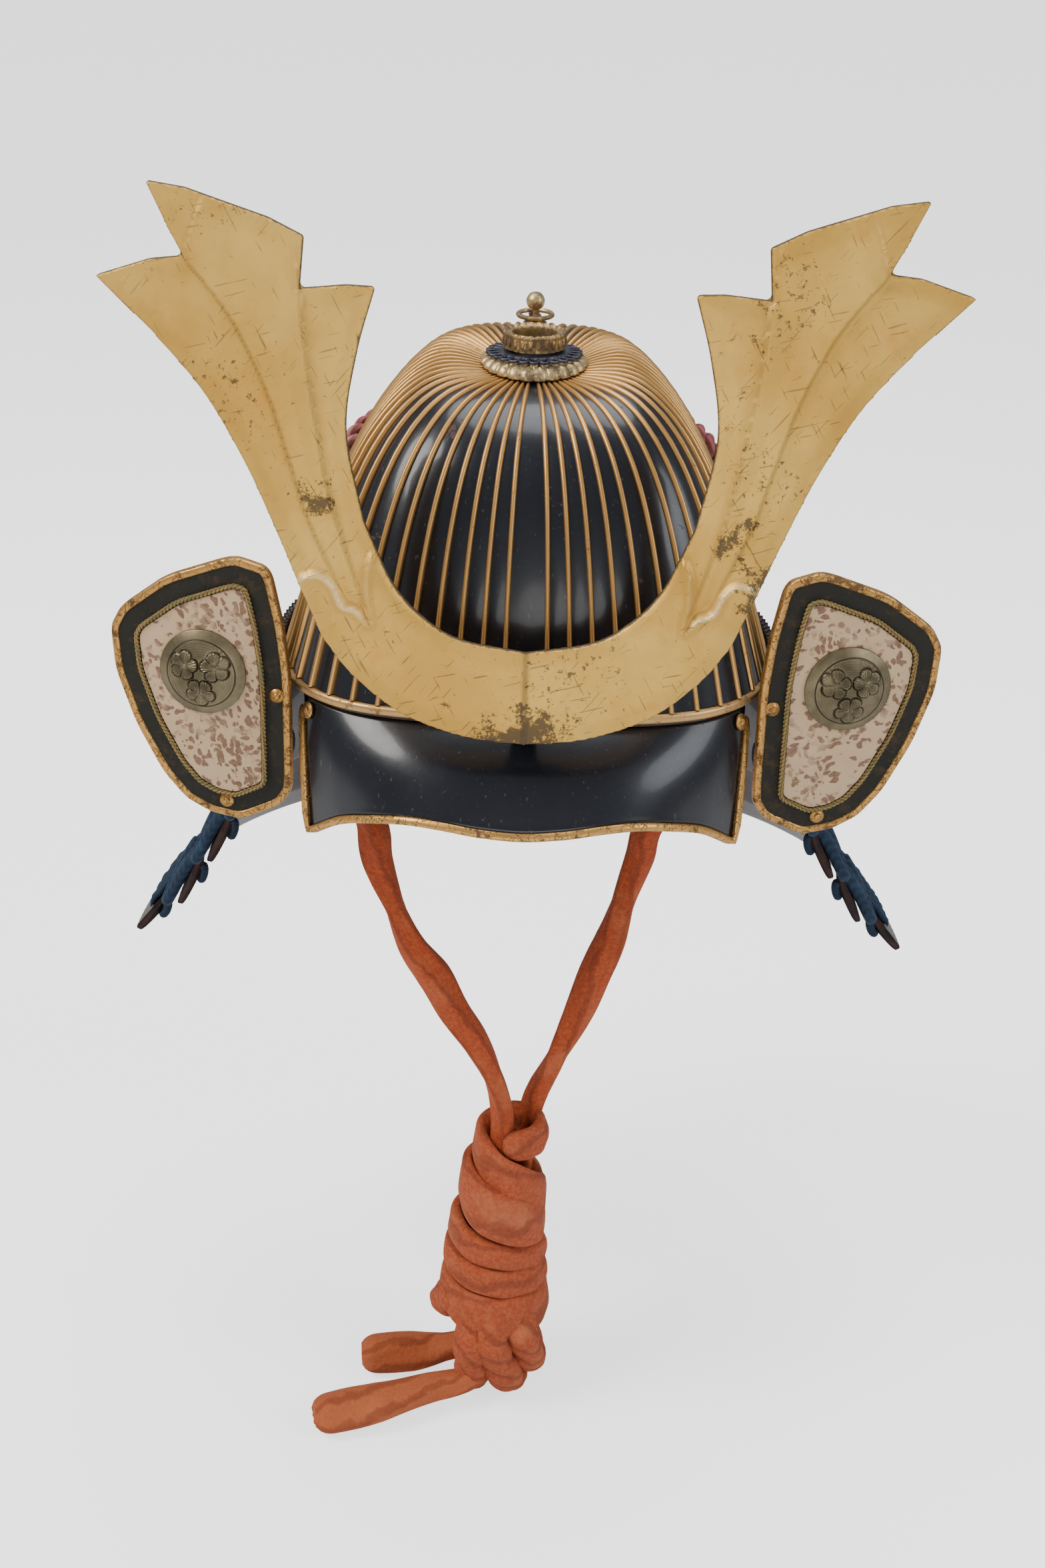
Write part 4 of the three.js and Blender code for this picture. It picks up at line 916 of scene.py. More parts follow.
class HELMET_OT_rear_bow(bpy.types.Operator):
    """Adds the twisted silk cord behind the bowl: its drop, knot, two loops, tails and tassels"""
    bl_idname = "helmet.rear_bow"
    bl_label = "Rear bow"

    def execute(self, context):
        silk = paint_thread("bow_silk", context.scene.helmet_cords.bow_silk, (0.72, 0.4, 0.38),
                            3, 60)
        low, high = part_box("rear_ring")
        ring_back = np.array([0, high[1], (low[2] + high[2]) / 2]) / MM
        knot = rear_point(0, BOW_KNOT_HEIGHT, 8)
        line = curve([ring_back - (0, 1, 2), rear_point(0, 132, 5), rear_point(0, 114, 7), knot],
                     60, 300)
        mesh = twisted("bow_drop_cord", line, BOW_CORD, BOW_PITCH)
        drop = piece("bow_drop_cord", mesh, silk, "pink_silk", "bow_drop")
        state_cord(drop, line, 2, 8, "knot")
        turns = np.linspace(0, 1, 400) * TURN
        reach = 7 + 2 * np.cos(3 * turns)
        ball = vectors(np.cos(2 * turns) * reach, np.sin(3 * turns) * 3.2,
                       np.sin(2 * turns) * reach)
        mesh = twisted("bow_knot_cord", even(knot + ball, 150, closed=True), 3.3, 11, closed=True)
        piece("bow_knot_cord", mesh, silk, "pink_silk", "bow_knot")
        for name, side in (("left", -1), ("right", 1)):
            loop_rows, tail_rows = ([rear_point(*row) * (side, 1, 1) for row in rows]
                                    for rows in (BOW_LOOP, BOW_TAIL))
            loop = curve([knot, *loop_rows, knot + (0, 0, -3)], 200, 500)
            tail = curve([knot + (0, 0, -4), *tail_rows], 40, 200)
            mesh = joined(f"bow_{name}_cord", [twisted("part", line, BOW_CORD, BOW_PITCH)
                                               for line in (loop, tail)])
            cord = piece(f"bow_{name}_cord", mesh, silk, "pink_silk", f"bow_loop_{name}",
                         f"bow_tail_{name}")
            tassel = self.tassel(name, tail[-1], silk)
            state_cord(cord, np.vstack([loop, tail]), 3, 8, "knot", with_pieces=[tassel])
        return {"FINISHED"}

    def tassel(self, name, head, silk):
        """A bound head over a bell of loose twisted threads."""
        start = head - (0, 0, TASSEL_GAP)
        slant = np.array([0, TASSEL_SLANT, -TASSEL_LENGTH], float)
        draw = random.Random(f"tassel {name}")
        shares = np.linspace(0, 1, 9)
        shape = TASSEL_RADIUS * np.interp(shares, *zip(*TASSEL_SHAPE))
        lines = []
        for thread in range(TASSEL_THREADS):
            turn = TURN * (thread * 0.618)
            ring = math.sqrt((thread + 0.5) / TASSEL_THREADS)
            jitter = draw.uniform(-0.6, 0.6)
            reach = ring * shape + 0.35 * np.sin(TURN * 2 * shares + thread)
            lines.append(start + shares[:, None] * slant
                         + vectors(reach * math.cos(turn), reach * math.sin(turn), jitter * shares))
        threads = rod("threads", lines, 1.15, sides=5, round_ends=False)
        turns = np.linspace(0, 4 * TURN, 120)
        bind = start + vectors(4.6 * np.cos(turns), 4.6 * np.sin(turns) + 2.2,
                               -9 + turns / TURN * 1.1)
        crown = rod("crown", [even([head - (0, 0, 1), head - (0, 0, 5), start + 0.16 * slant], 12)],
                    lambda u, turn, number: 2.6 + 3.2 * np.sin(np.clip(u, 0, 1) * math.pi * 0.7),
                    sides=16)
        parts = [threads, rod("bind", [even(bind, 100)], 0.7, sides=6), crown]
        return piece(f"bow_{name}_tassel", joined(f"tassel_{name}", parts), silk, "pink_silk",
                     f"bow_tassel_{name}")


# --- Bowl and crown -----------------------------------------------------------------------------

TOP_SHARE = 0.996  # how far up the skin the plates go
PLATE_STEP, PLATE_BELLY = 1.0, 0.5


class HELMET_OT_bowl(bpy.types.Operator):
    """Adds the bowl's lacquered plates, its gilt ribs and the rolled gilt rim"""
    bl_idname = "helmet.bowl"
    bl_label = "Ribbed bowl"

    def execute(self, context):
        sizes = context.scene.helmet_metal
        lacquer = paint_lacquer("black_lacquer", sizes.lacquer)
        gilt = paint_gilt("rib_gilding", sizes.gilding, wear=0.66)

        def plates(u, v, number):
            first, last = rib_angle(number), rib_angle(number + 1)
            share = TOP_SHARE * v
            belly = PLATE_BELLY * np.sin(math.pi * u) * (1 - share)
            lift = belly + PLATE_STEP * u * (1 - share)
            return bowl_point(first + (last - first) * u, share, lift)

        shell = thicken(weld(grids("bowl_plates", PLATE_COUNT, 4, 26, plates), 0.05), BOWL_WALL)
        crease(shell, 50)
        piece("bowl_plates", shell, lacquer, "black_lacquer", "bowl", smooth=False)

        def ribs(u, v, number):
            share = 0.985 * v
            away = np.hypot(*bowl_surface(rib_angle(number), share)[:, :2].T)
            pitch = rib_angle(1) - rib_angle(0)
            half = np.minimum(sizes.rib_width / MM, away * pitch * 0.66) / 2
            turn = math.pi * u
            worn = 0.12 * np.sin(37 * v + number) * np.sin(91 * v + 2.3 * number)
            lift = rib_rise(share) * np.sin(turn) ** 0.62 + worn * np.sin(turn) - 0.2
            across = -np.cos(turn) * half / np.maximum(away, 1)
            return bowl_point(rib_angle(number) + across, share, lift)

        mesh = weld(grids("bowl_ribs", PLATE_COUNT, 6, 34, ribs), 0.01)
        piece("bowl_ribs", mesh, gilt, "gilt_copper")

        def rim(u, v, number):
            angle, turn = TURN * u, TURN * v
            half_deep = (RIM_BAND_REACH + BOWL_WALL) / 2
            out = (RIM_BAND_REACH - BOWL_WALL) / 2 + half_deep * power(np.cos(turn), 0.7)
            rise = RIM_BAND_HEIGHT / 2 * power(np.sin(turn), 0.7)
            wave = 0.12 * np.sin(17 * angle) * np.sin(5 * angle)
            return at_angle(angle, plan_radius(angle) + out + wave,
                            -SEAT_GAP - RIM_BAND_HEIGHT / 2 + rise)

        band = paint_gilt("rim_gilding", (0.64, 0.41, 0.17), (0.2, 0.1, 0.04), wear=0.58)
        piece("bowl_rim", weld(grids("bowl_rim", 1, 240, 16, rim)), band, "gilt_copper", "rim_band")
        return {"FINISHED"}


SEAT_TOP = BOWL_HEIGHT + CROWN_SEAT_HEIGHT
SEAT_BORE, SEAT_SHOULDER = CROWN_HOLE + 1.2, 19
COLLAR_BASE = SEAT_TOP + SEAT_GAP + 1.0
LOOP_LENGTH, LOOP_WIDTH, LOOP_WIRE = 4.6, 2.35, 0.78
RING_FOOT = SEAT_TOP + SEAT_GAP + COLLAR_THICKNESS + SEAT_GAP
# Sections through the collar's dome, the crown ring and the stud, as (radius, height).
DOME_SECTION = [(CROWN_HOLE + 0.2, 0), (16.8, -0.2), (17.6, 0.9), (16.4, 1.8), (13.6, 2.0),
                (CROWN_HOLE + 0.2, 2.0), (CROWN_HOLE + 0.2, 0)]
RING_SECTION = [(CROWN_HOLE + 0.1, 0), (14.6, 0), (14.7, 0.4), (14.8, 3), (15.0, 5.6), (15.3, 7.0),
                (14.6, 7.9), (13.4, 7.2), (12.8, 6.9), (11.6, 6.9), (CROWN_HOLE + 0.1, 6.6),
                (CROWN_HOLE + 0.1, 0)]
STUD_SECTION = [(0, 0), (5.6, 0), (5.4, 0.8), (4.2, 1.4), (1.9, 1.5), (1.6, 3), (1.6, 6.6),
                (2.6, 7.4), (4.0, 8.6), (4.6, 11.1), (4.1, 13.2), (2.5, 15), (0, 15.7)]
BEAD_RADIUS, BEAD_HEIGHT, BEAD_SIZE = 14.9, 3.6, (1.15, 0.7, 2.2)
STUD_SHARE, STUD_NECK, STUD_SEAT = 0.8, 1.6, 1.4
STUD_RING, STUD_WIRE = 8.5, 1.2


def seat_height(radius, around):
    """Height of the ribs' tops at a radius from the crown's middle, for each angle."""
    shares = np.linspace(0.8, 0.999, 60)
    found = []
    for angle in around:
        points = bowl_point(np.full(60, angle), shares, rib_rise(shares))
        found.append(np.interp(-radius, -np.hypot(*points[:, :2].T), points[:, 2]))
    return np.array(found)


def scaled(place, turned, size):
    """A place, in millimetres, with a turn and a size for a round form that is added there."""
    return Matrix.Translation(Vector(place) * MM) @ turned @ Matrix.Diagonal(
        (*(part * MM for part in size), 1))


class HELMET_OT_crown_fitting(bpy.types.Operator):
    """Adds the crown fitting: petal seat, pierced collar, fluted ring, stud and loose ring"""
    bl_idname = "helmet.crown_fitting"
    bl_label = "Crown fitting"

    def execute(self, context):
        gilt = paint_gilt("crown_gilding", (0.62, 0.47, 0.24), (0.1, 0.07, 0.04), wear=0.5)
        brass = paint_gilt("ring_gilding", (0.5, 0.34, 0.15), (0.09, 0.055, 0.03), wear=0.48)
        dark = paint_plain("blued_copper", (0.035, 0.037, 0.055), (0.085, 0.085, 0.11), 160, 0.42,
                           0.75, 0.1)
        self.seat(gilt)
        self.collar(dark)
        self.ring(brass)
        self.stud(gilt)
        return {"FINISHED"}

    def seat(self, gilt):
        around = circle(240)
        foot_outer = seat_height(CROWN_SEAT - 0.8, around)
        foot_inner = seat_height(SEAT_BORE, around)

        def place(u, v, number):
            angle = TURN * u
            petal = np.abs(np.sin(PETALS / 2 * angle))
            outer = CROWN_SEAT - 1.5 * (1 - petal ** 0.5)
            foot = np.interp(angle, around, foot_outer, period=TURN) + SEAT_GAP
            within = np.interp(angle, around, foot_inner, period=TURN) + SEAT_GAP
            turn = np.interp(v, (0, 0.25, 0.8, 1), (0, 0, math.pi / 2, math.pi / 2))
            flute = 0.9 * (1 - petal ** 0.6) * np.sin(np.clip(turn * 1.4, 0, math.pi))
            # Under the seat, then over its petals, then over its flat top.
            radius = np.select(
                [v < 0.1, v < 0.8],
                [SEAT_BORE + (outer - SEAT_BORE) * v / 0.1,
                 outer - (outer - SEAT_SHOULDER) * (1 - np.cos(turn))],
                SEAT_SHOULDER - (SEAT_SHOULDER - SEAT_BORE) * (v - 0.8) / 0.2)
            height = np.where(v < 0.1, within + (foot - within) * v / 0.1,
                              foot + (SEAT_TOP - foot) * np.sin(turn) - flute)
            height = height + smooth_step(v, 0.97, 1) * (within - height)
            return at_angle(angle, radius, height)

        mesh = weld(grids("crown_seat", 1, PETALS * 10, 40, place))
        piece("crown_seat", mesh, gilt, "gilt_copper", "tehen_base")

    def collar(self, dark):
        """Open loops in a row, their inner ends under a domed ring with a nicked edge."""
        turn = circle(28)
        reach = COLLAR_RADIUS - 0.9 - LOOP_LENGTH + LOOP_LENGTH * np.cos(turn)
        across = LOOP_WIDTH * np.sin(turn) * (1 + 0.18 * np.cos(turn))
        droop = -0.07 * (reach - 14)
        loops = [at_angle(middle + across / reach, reach, COLLAR_BASE + droop + 0.3)
                 for middle in circle(COLLAR_LOOPS)]
        wires = rod("collar_loops", loops, LOOP_WIRE, sides=8, closed=True)

        def dome(u, v, number):
            angle = TURN * u
            nick = 0.5 * np.abs(np.sin(COLLAR_LOOPS * angle))
            radius, height = through(DOME_SECTION, v).T
            radius = radius + nick * smooth_step(radius, 15.5, 17.4)
            return at_angle(angle, radius, COLLAR_BASE - 0.8 + height)

        dome_mesh = weld(grids("collar_dome", 1, COLLAR_LOOPS * 8, 24, dome))
        piece("crown_collar", joined("crown_collar", [wires, dome_mesh]), dark, "dark_copper",
              "tehen_filigree")

    def ring(self, brass):
        """A fluted ring with a scalloped lip and an upright bead in each flute."""
        def place(u, v, number):
            angle = TURN * u
            arch = 1 - np.abs(np.cos(PETALS / 2 * angle)) ** 6
            radius, height = through(RING_SECTION, v).T
            outside = smooth_step(radius, 14.2, 14.9)
            crown = smooth_step(height, 6.6, 7.8) * 0.7 * (arch - 0.6)
            return at_angle(angle, radius + outside * (0.55 * arch - 0.5),
                            RING_FOOT + height + crown)

        mesh = weld(grids("ring_body", 1, PETALS * 10, 44, place))
        with editing(mesh) as bm:
            for i in range(PETALS):
                angle = TURN * (i + 0.5) / PETALS
                spot = at_angle(angle, BEAD_RADIUS, RING_FOOT + BEAD_HEIGHT)
                bmesh.ops.create_uvsphere(
                    bm, u_segments=10, v_segments=8, radius=1,
                    matrix=scaled(spot, Matrix.Rotation(angle, 4, "Z"), BEAD_SIZE))
        piece("crown_ring", mesh, brass, "gilt_copper", "tehen_ring")

    def stud(self, gilt):
        """The ball-headed stud behind the fitting, and the loose ring that hangs on its neck."""
        seat = at_spot(bowl_point, math.pi, STUD_SHARE, rib_rise(STUD_SHARE) + SEAT_GAP)
        normal = at_spot(lambda *at: surface_normal(bowl_surface, *at), math.pi, STUD_SHARE)
        turned = Matrix.Rotation(math.atan2(-normal[1], normal[2]), 4, "X")
        mesh = bpy.data.meshes.new("ball_stud")
        with editing(mesh) as bm:
            fine = through([(r, 0, z) for r, z in STUD_SECTION], np.linspace(0, 1, 60))
            fine[:, 0] = np.maximum(fine[:, 0], 0)
            points = [bm.verts.new(Vector(p) * MM) for p in fine]
            edges = [bm.edges.new(pair) for pair in zip(points, points[1:])]
            bmesh.ops.spin(bm, geom=points + edges, axis=(0, 0, 1), cent=(0, 0, 0), dvec=(0, 0, 0),
                           angle=TURN, steps=28, use_merge=True, use_duplicate=False)
            bmesh.ops.remove_doubles(bm, verts=bm.verts, dist=1e-6)
            bmesh.ops.recalc_face_normals(bm, faces=bm.faces)
            bmesh.ops.transform(bm, matrix=Matrix.Translation(Vector(seat) * MM) @ turned,
                                verts=bm.verts)
        piece("ball_stud", mesh, gilt, "gilt_copper", "rear_stud")
        turn = circle(60)
        hang = STUD_RING - STUD_WIRE - STUD_NECK - SEAT_GAP
        local = vectors(STUD_RING * np.cos(turn), hang + STUD_RING * np.sin(turn),
                        STUD_SEAT + SEAT_GAP + STUD_WIRE)
        line = seat + local @ np.array(turned.to_3x3()).T
        piece("stud_ring", rod("stud_ring", [line], STUD_WIRE, sides=12, closed=True), gilt,
              "gilt_copper", "rear_ring")


# --- Visor --------------------------------------------------------------------------------------

PRONG_WIDTH, PRONG_THICKNESS = 12, 3
TAB_THICKNESS, TAB_PIN = 1.0, (1.7, 1.7, 1.3)

# The visor's edge: share from the middle to the side, then its reach and drop as shares.
VISOR_EDGE = [(0, 1, 0.69), (0.2, 1, 0.665), (0.36, 0.985, 0.635), (0.52, 0.95, 0.635),
              (0.68, 0.89, 0.69), (0.85, 0.795, 0.8), (1, 0.68, 1)]


def visor_surface(u, v):
    side = 2 * np.asarray(u, float) - 1
    share = np.abs(side)
    angle = math.radians(VISOR_SPAN) * side
    top = at_angle(angle, plan_radius(angle), VISOR_TOP)
    rows = np.array(VISOR_EDGE)
    mirrored = np.vstack([rows[:0:-1] * (-1, 1, 1), rows])
    at = np.interp(np.minimum(share, 1), mirrored[:, 0], np.linspace(0, 1, len(mirrored)))
    reach, drop = np.moveaxis(through(mirrored[:, 1:], at), -1, 0)
    edge = vectors(np.sign(side) * VISOR_HALF_WIDTH * np.minimum(share, 1.02),
                   -VISOR_REACH * reach, -VISOR_DROP * drop)
    v = np.asarray(v, float)
    belly = VISOR_SWELL * math.sqrt(0.5) * np.sin(math.pi * np.clip(v, 0, 1))
    return top + (edge - top) * v[..., None] + vectors(0, -belly, belly)


def visor_normal(u, v):
    """The visor's normal, turned up."""
    normal = surface_normal(visor_surface, u, v)
    return normal * np.sign(normal[:, 2:3] + 1e-9)


def visor_edge_line():
    """The middle of the visor's edging, the way out from the sheet, and the sheet's normal."""
    downs = np.linspace(0.1, 0.9, 12)
    route = [(0.0, v, -1, 0) for v in downs] + [(0.0, 1.0, -0.8, 0.8)]
    route += [(u, 1.0, 0, 1) for u in np.linspace(0.01, 0.99, 90)]
    route += [(1.0, 1.0, 0.8, 0.8)] + [(1.0, v, 1, 0) for v in downs[::-1]]
    u, v, out, down = np.array(route).T
    normal = visor_normal(u, v)
    sideways = unit(visor_surface(u + STEP, v) - visor_surface(u - STEP, v))
    downward = unit(np.cross(normal, sideways))
    downward = downward * -np.sign(downward[:, 2:3])
    away = unit(sideways * out[:, None] + downward * down[:, None])
    return visor_surface(u, v) + away * (SEAT_GAP + VISOR_RIM_WIDTH / 2), away, normal


class HELMET_OT_visor(bpy.types.Operator):
    """Adds the lacquered visor, its engraved gilt edging with tabs and pins, and the prong"""
    bl_idname = "helmet.visor"
    bl_label = "Visor"

    def execute(self, context):
        lacquer = paint_lacquer("visor_lacquer", context.scene.helmet_metal.lacquer, 0.7)
        # The sheet runs a little under its edging.
        sheet = grids("visor_plate", 1, 96, 24, lambda u, v, number: visor_surface(u, 1.02 * v))
        piece("visor_plate", thicken(weld(sheet), VISOR_WALL), lacquer, "black_lacquer", "visor")
        engraved = paint_gilt("engraved_gilding", (0.66, 0.38, 0.12), (0.08, 0.035, 0.012), 0.6,
                              scroll_relief(240))

        def section(u, turn):
            ends = round_off(np.minimum(u, 1 - u) * 60)
            return (power(np.cos(turn), 0.7) * VISOR_RIM_WIDTH / 2 * ends,
                    power(np.sin(turn), 0.8) * VISOR_RIM_THICKNESS / 2 * ends)

        mesh = strip("visor_edging", 420, 16, visor_edge_line(), section)
        piece("visor_edging", mesh, engraved, "gilt_copper", "visor_rim")
        tabs = []
        for u in (0.02, 0.98):
            normal = at_spot(visor_normal, u, 0.12)
            tabs.append(tab(at_spot(visor_surface, u, 0.12) + normal * 1.4, normal, 4.2))
        piece("visor_tabs", joined("visor_tabs", tabs), engraved, "gilt_copper")
        self.prong(lacquer)
        return {"FINISHED"}

    def prong(self, lacquer):
        """The bent prong that the crest slips over, from the visor's top to behind the board."""
        lean = math.tan(math.radians(CREST_LEAN))
        back = -CREST_FORWARD + CREST_THICKNESS + PRONG_THICKNESS / 2 + SEAT_GAP
        rows = [(0, -110, -10), (0, -119, -7), (0, -130, -2)]
        rows += [(0, back + height * lean, height) for height in (6, 20, 35)]
        mesh = rod("prong", [curve(rows, 40, 120)], PRONG_WIDTH / 2, sides=16,
                   flat=PRONG_THICKNESS / PRONG_WIDTH)
        piece("prong", mesh, lacquer, "black_lacquer", "crest_post")


def tab(place, normal, radius):
    """A round gilt tab with a domed pin, lying on a surface."""
    mesh = bpy.data.meshes.new("tab")
    turned = Vector(normal).to_track_quat("Z", "Y").to_matrix().to_4x4()
    with editing(mesh) as bm:
        bmesh.ops.create_cone(bm, cap_ends=True, segments=28, radius1=radius * MM,
                              radius2=radius * 0.94 * MM, depth=TAB_THICKNESS * MM)
        bmesh.ops.create_uvsphere(bm, u_segments=16, v_segments=10, radius=1,
                                  matrix=scaled((0, 0, 0.6), Matrix.Identity(4), TAB_PIN))
        bmesh.ops.transform(bm, matrix=Matrix.Translation(Vector(place) * MM) @ turned,
                            verts=bm.verts)
    return mesh


# --- Crest --------------------------------------------------------------------------------------

CREST_SIZE = (CREST_HALF_SPAN, CREST_HEIGHT)
CREST_CELL = 1.15  # size of the cells that carry the carving
CREST_NOTCH = 0.178  # share of the height where the halves part
# Half outline of the crest, as shares of its half-span and height, in runs that are each smooth.
CREST_RUNS = [
    (7, [(0, CREST_NOTCH), (0.16, 0.2), (0.255, 0.245), (0.318, 0.3), (0.36, 0.365)]),
    (7, [(0.39, 0.418), (0.43, 0.577), (0.407, 0.712), (0.364, 0.831)]),
    (0, [(0.431, 0.833), (0.536, 0.825), (0.526, 0.914), (0.607, 0.944), (0.792, 0.99), (0.881, 1),
         (0.83, 0.918), (0.8, 0.875), (0.874, 0.869), (1, 0.838)]),
    (8, [(0.873, 0.743), (0.758, 0.638), (0.664, 0.512), (0.593, 0.389), (0.547, 0.302)]),
    (8, [(0.49, 0.2), (0.416, 0.127), (0.3, 0.057), (0.15, 0.014), (0, 0)]),
]
# The carving on the face of one half, in the same shares. The leaves rise out of a cup whose lip
# runs from its outer cusp down and up to its inner cusp; two grooves part the leaves.
CUP_LIP = [(0.552, 0.303), (0.5, 0.318), (0.462, 0.298), (0.44, 0.262), (0.405, 0.252),
           (0.372, 0.228), (0.384, 0.29), (0.376, 0.34), (0.355, 0.372)]
INNER_GROOVE = [(0.536, 0.825), (0.522, 0.72), (0.5, 0.6), (0.47, 0.47), (0.42, 0.34),
                (0.385, 0.26)]
OUTER_GROOVE = [(0.8, 0.875), (0.7, 0.78), (0.62, 0.66), (0.565, 0.53), (0.52, 0.42), (0.45, 0.3)]
# Corners beyond the outline that close the areas over the lip and between the grooves.
OVER_LIP = [(0.2, 1.3), (1.3, 1.3), (1.3, 0.303)]
OVER_GROOVES = [(0.6, 1.3)]
CUP_RISE, LIP_RISE, LEAF_RISE = 1.5, 2.5, 2.3
# Where the lacquer shows through the leaf: side and height in millimetres, reach, strength.
STAINS = [(-97, 113, 9, 1), (-88, 108, 6, 0.8), (86, 92, 8, 0.9), (100, 80, 9, 1), (97, 66, 7, 0.8),
          (92, 104, 7, 0.7), (0, 5, 16, 0.8), (-14, 3, 12, 0.7), (14, 6, 12, 0.7), (-2, 22, 6, 0.7),
          (5, 34, 6, 0.6)]


def crest_line(rows, count=48):
    """A smooth line in the crest's plane through rows of shares."""
    return through(np.multiply(rows, CREST_SIZE), np.linspace(0, 1, count))


def distance_to_line(points, rows):
    """Distance of points in a plane to a line of straight runs."""
    best = np.full(len(points), 1e9)
    for a, b in zip(rows, rows[1:]):
        run = b - a
        share = np.clip(((points - a) @ run) / max(run @ run, 1e-9), 0, 1)
        best = np.minimum(best, np.hypot(*(points - a - share[:, None] * run).T))
    return best


def inside_polygon(points, corners):
    """Which points of a plane lie inside a polygon."""
    x, y = points.T
    inside = np.zeros(len(points), bool)
    for (x1, y1), (x2, y2) in zip(corners, np.roll(corners, -1, axis=0)):
        if y1 != y2:
            inside ^= ((y1 > y) != (y2 > y)) & (x < (x2 - x1) * (y - y1) / (y2 - y1) + x1)
    return inside


def bell(distance, width):
    """1 on a line, and a soft fall to 0 on both sides of it."""
    return np.exp(-((distance / width) ** 2))


def extrude(bm, outline, start, depth):
    """Adds a plate of an outline over a depth; gives the points of its far side."""
    face = bm.faces.new([bm.verts.new((x * MM, start * MM, z * MM)) for x, z in outline])
    pulled = bmesh.ops.extrude_face_region(bm, geom=[face])["geom"]
    moved = [v for v in pulled if isinstance(v, bmesh.types.BMVert)]
    bmesh.ops.translate(bm, vec=(0, depth * MM, 0), verts=moved)
    return moved


class HELMET_OT_crest(bpy.types.Operator):
    """Adds the gilt wooden crest with its carved leaves"""
    bl_idname = "helmet.crest"
    bl_label = "Crest"

    def board(self, context, half):
        """The flat board as one even mesh that can be carved."""
        mesh = bpy.data.meshes.new("crest_board")
        with editing(mesh) as bm:
            extrude(bm, np.vstack([half, half[1:-1][::-1] * (-1, 1)]), 0, CREST_THICKNESS)
            bmesh.ops.triangulate(bm, faces=bm.faces)
            bmesh.ops.recalc_face_normals(bm, faces=bm.faces)
        board = show("crest_board", mesh)
        remesh = board.modifiers.new("even", "REMESH")
        remesh.mode = "VOXEL"
        remesh.voxel_size = CREST_CELL * MM
        shaped = board.evaluated_get(context.evaluated_depsgraph_get())
        mesh = bpy.data.meshes.new_from_object(shaped)
        bpy.data.objects.remove(board)
        return mesh

    def execute(self, context):
        half = np.vstack([
            crest_line(rows, count * 4 + 1) if count else np.multiply(rows, CREST_SIZE)
            for count, rows in CREST_RUNS])
        mesh = self.board(context, half)
        side, depth, height = get_points(mesh).T
        plane = np.column_stack([np.abs(side), height])
        inward = distance_to_line(plane, half)
        lip, inner, outer = (crest_line(rows) for rows in (CUP_LIP, INNER_GROOVE, OUTER_GROOVE))
        on_leaf = inside_polygon(plane, np.vstack([lip, np.multiply(OVER_LIP, CREST_SIZE)]))
        between = np.vstack([outer[::-1], np.multiply(OVER_GROOVES, CREST_SIZE), inner])
        middle_leaf = on_leaf & inside_polygon(plane, between)
        from_lip, from_inner, from_outer = (distance_to_line(plane, line)
                                            for line in (lip, inner, outer))
        from_groove = np.minimum(from_inner, from_outer)
        relief = np.where(on_leaf, 0, CUP_RISE * (1 - 0.8 * smooth_step(from_lip, 4, 45)))
        relief = relief + LIP_RISE * bell(from_lip, 1.6)
        leaf = LEAF_RISE * np.exp(-from_groove / 17) * smooth_step(from_lip, 2, 26)
        relief = relief + np.where(middle_leaf, leaf, 0)
        relief = relief - np.where(on_leaf & ~middle_leaf, 0.5 * np.exp(-from_groove / 6), 0)
        crack = 0.3 * bell(from_groove, 0.8) * on_leaf
        seam = bell(side, 0.8) * (height < CREST_HEIGHT * CREST_NOTCH)
        dome = 1.3 * smooth_step(inward, 0, 9)
        front = depth < CREST_THICKNESS * 0.5
        wobble = 0.25 * np.sin(side * 0.11 + 1) * np.sin(height * 0.13)
        rise = dome + relief * smooth_step(inward, -0.5, 3) - seam * 0.8 + wobble
        depth = np.where(front, depth + 1.6 - np.clip(rise, -0.2, 5.6),
                         depth - 0.7 * (1 - smooth_step(inward, 0, 4)))
        lean = math.radians(CREST_LEAN)
        back = -CREST_FORWARD + depth * math.cos(lean) + height * math.sin(lean)
        up = height * math.cos(lean) - depth * math.sin(lean)
        stain = sum(force * bell(np.hypot(side - x, height - z), reach)
                    for x, z, reach, force in STAINS)
        set_points(mesh, vectors(side, back, up))
        put_values(mesh, "stain", stain)
        put_values(mesh, "edge", np.clip(1 - inward / 3.2, 0, 1))
        # Where the leaf is paled along the cup's lip: a painted highlight, and partly wear.
        put_values(mesh, "lip", bell(from_lip, 1.0) * front
                   * smooth_step(plane[:, 0], 0.37 * CREST_HALF_SPAN, 0.41 * CREST_HALF_SPAN))
        put_values(mesh, "crack", np.maximum(crack, seam * 0.8) * front)
        piece("crest_carving", mesh, paint_leaf("gold_leaf"), "gold_leaf_wood", "crest")
        return {"FINISHED"}


# --- Neck guard ---------------------------------------------------------------------------------

# The boards from the top: flare over the bowl's half-width, height of the edge, and the degrees
# from the brow where the board starts.
LAMES = [(13, -62, 56.3), (26, -92.5, 76.5), (46, -126, 83), (65, -159.5, 88.5), (91, -184, 93)]
SCALE_PITCH, SCALE_HEAD = 5.4, 5.5
BARE_END, LACE_START, LOWEST_LACE_END = 4, 4.6, 0.68
# Slack laces: rows of share along, share down and lift. A bundle hangs twice, shifted along, with
# its own sag.
BUNDLE_ENDS = [(0.12, 0.3, 2.4), (0.16, 0.6, 4.6)], [(0.75, 0.62, 5.6), (0.85, 0.35, 4.2)]
BUNDLES = [(0, 1.08), (0.3, 0.86)]
STUB = [(0.1, 0.4, -1.4), (0.1, 0.45, -4), (0.12, 0.55, -5.5), (0.14, 0.66, -5.2)]


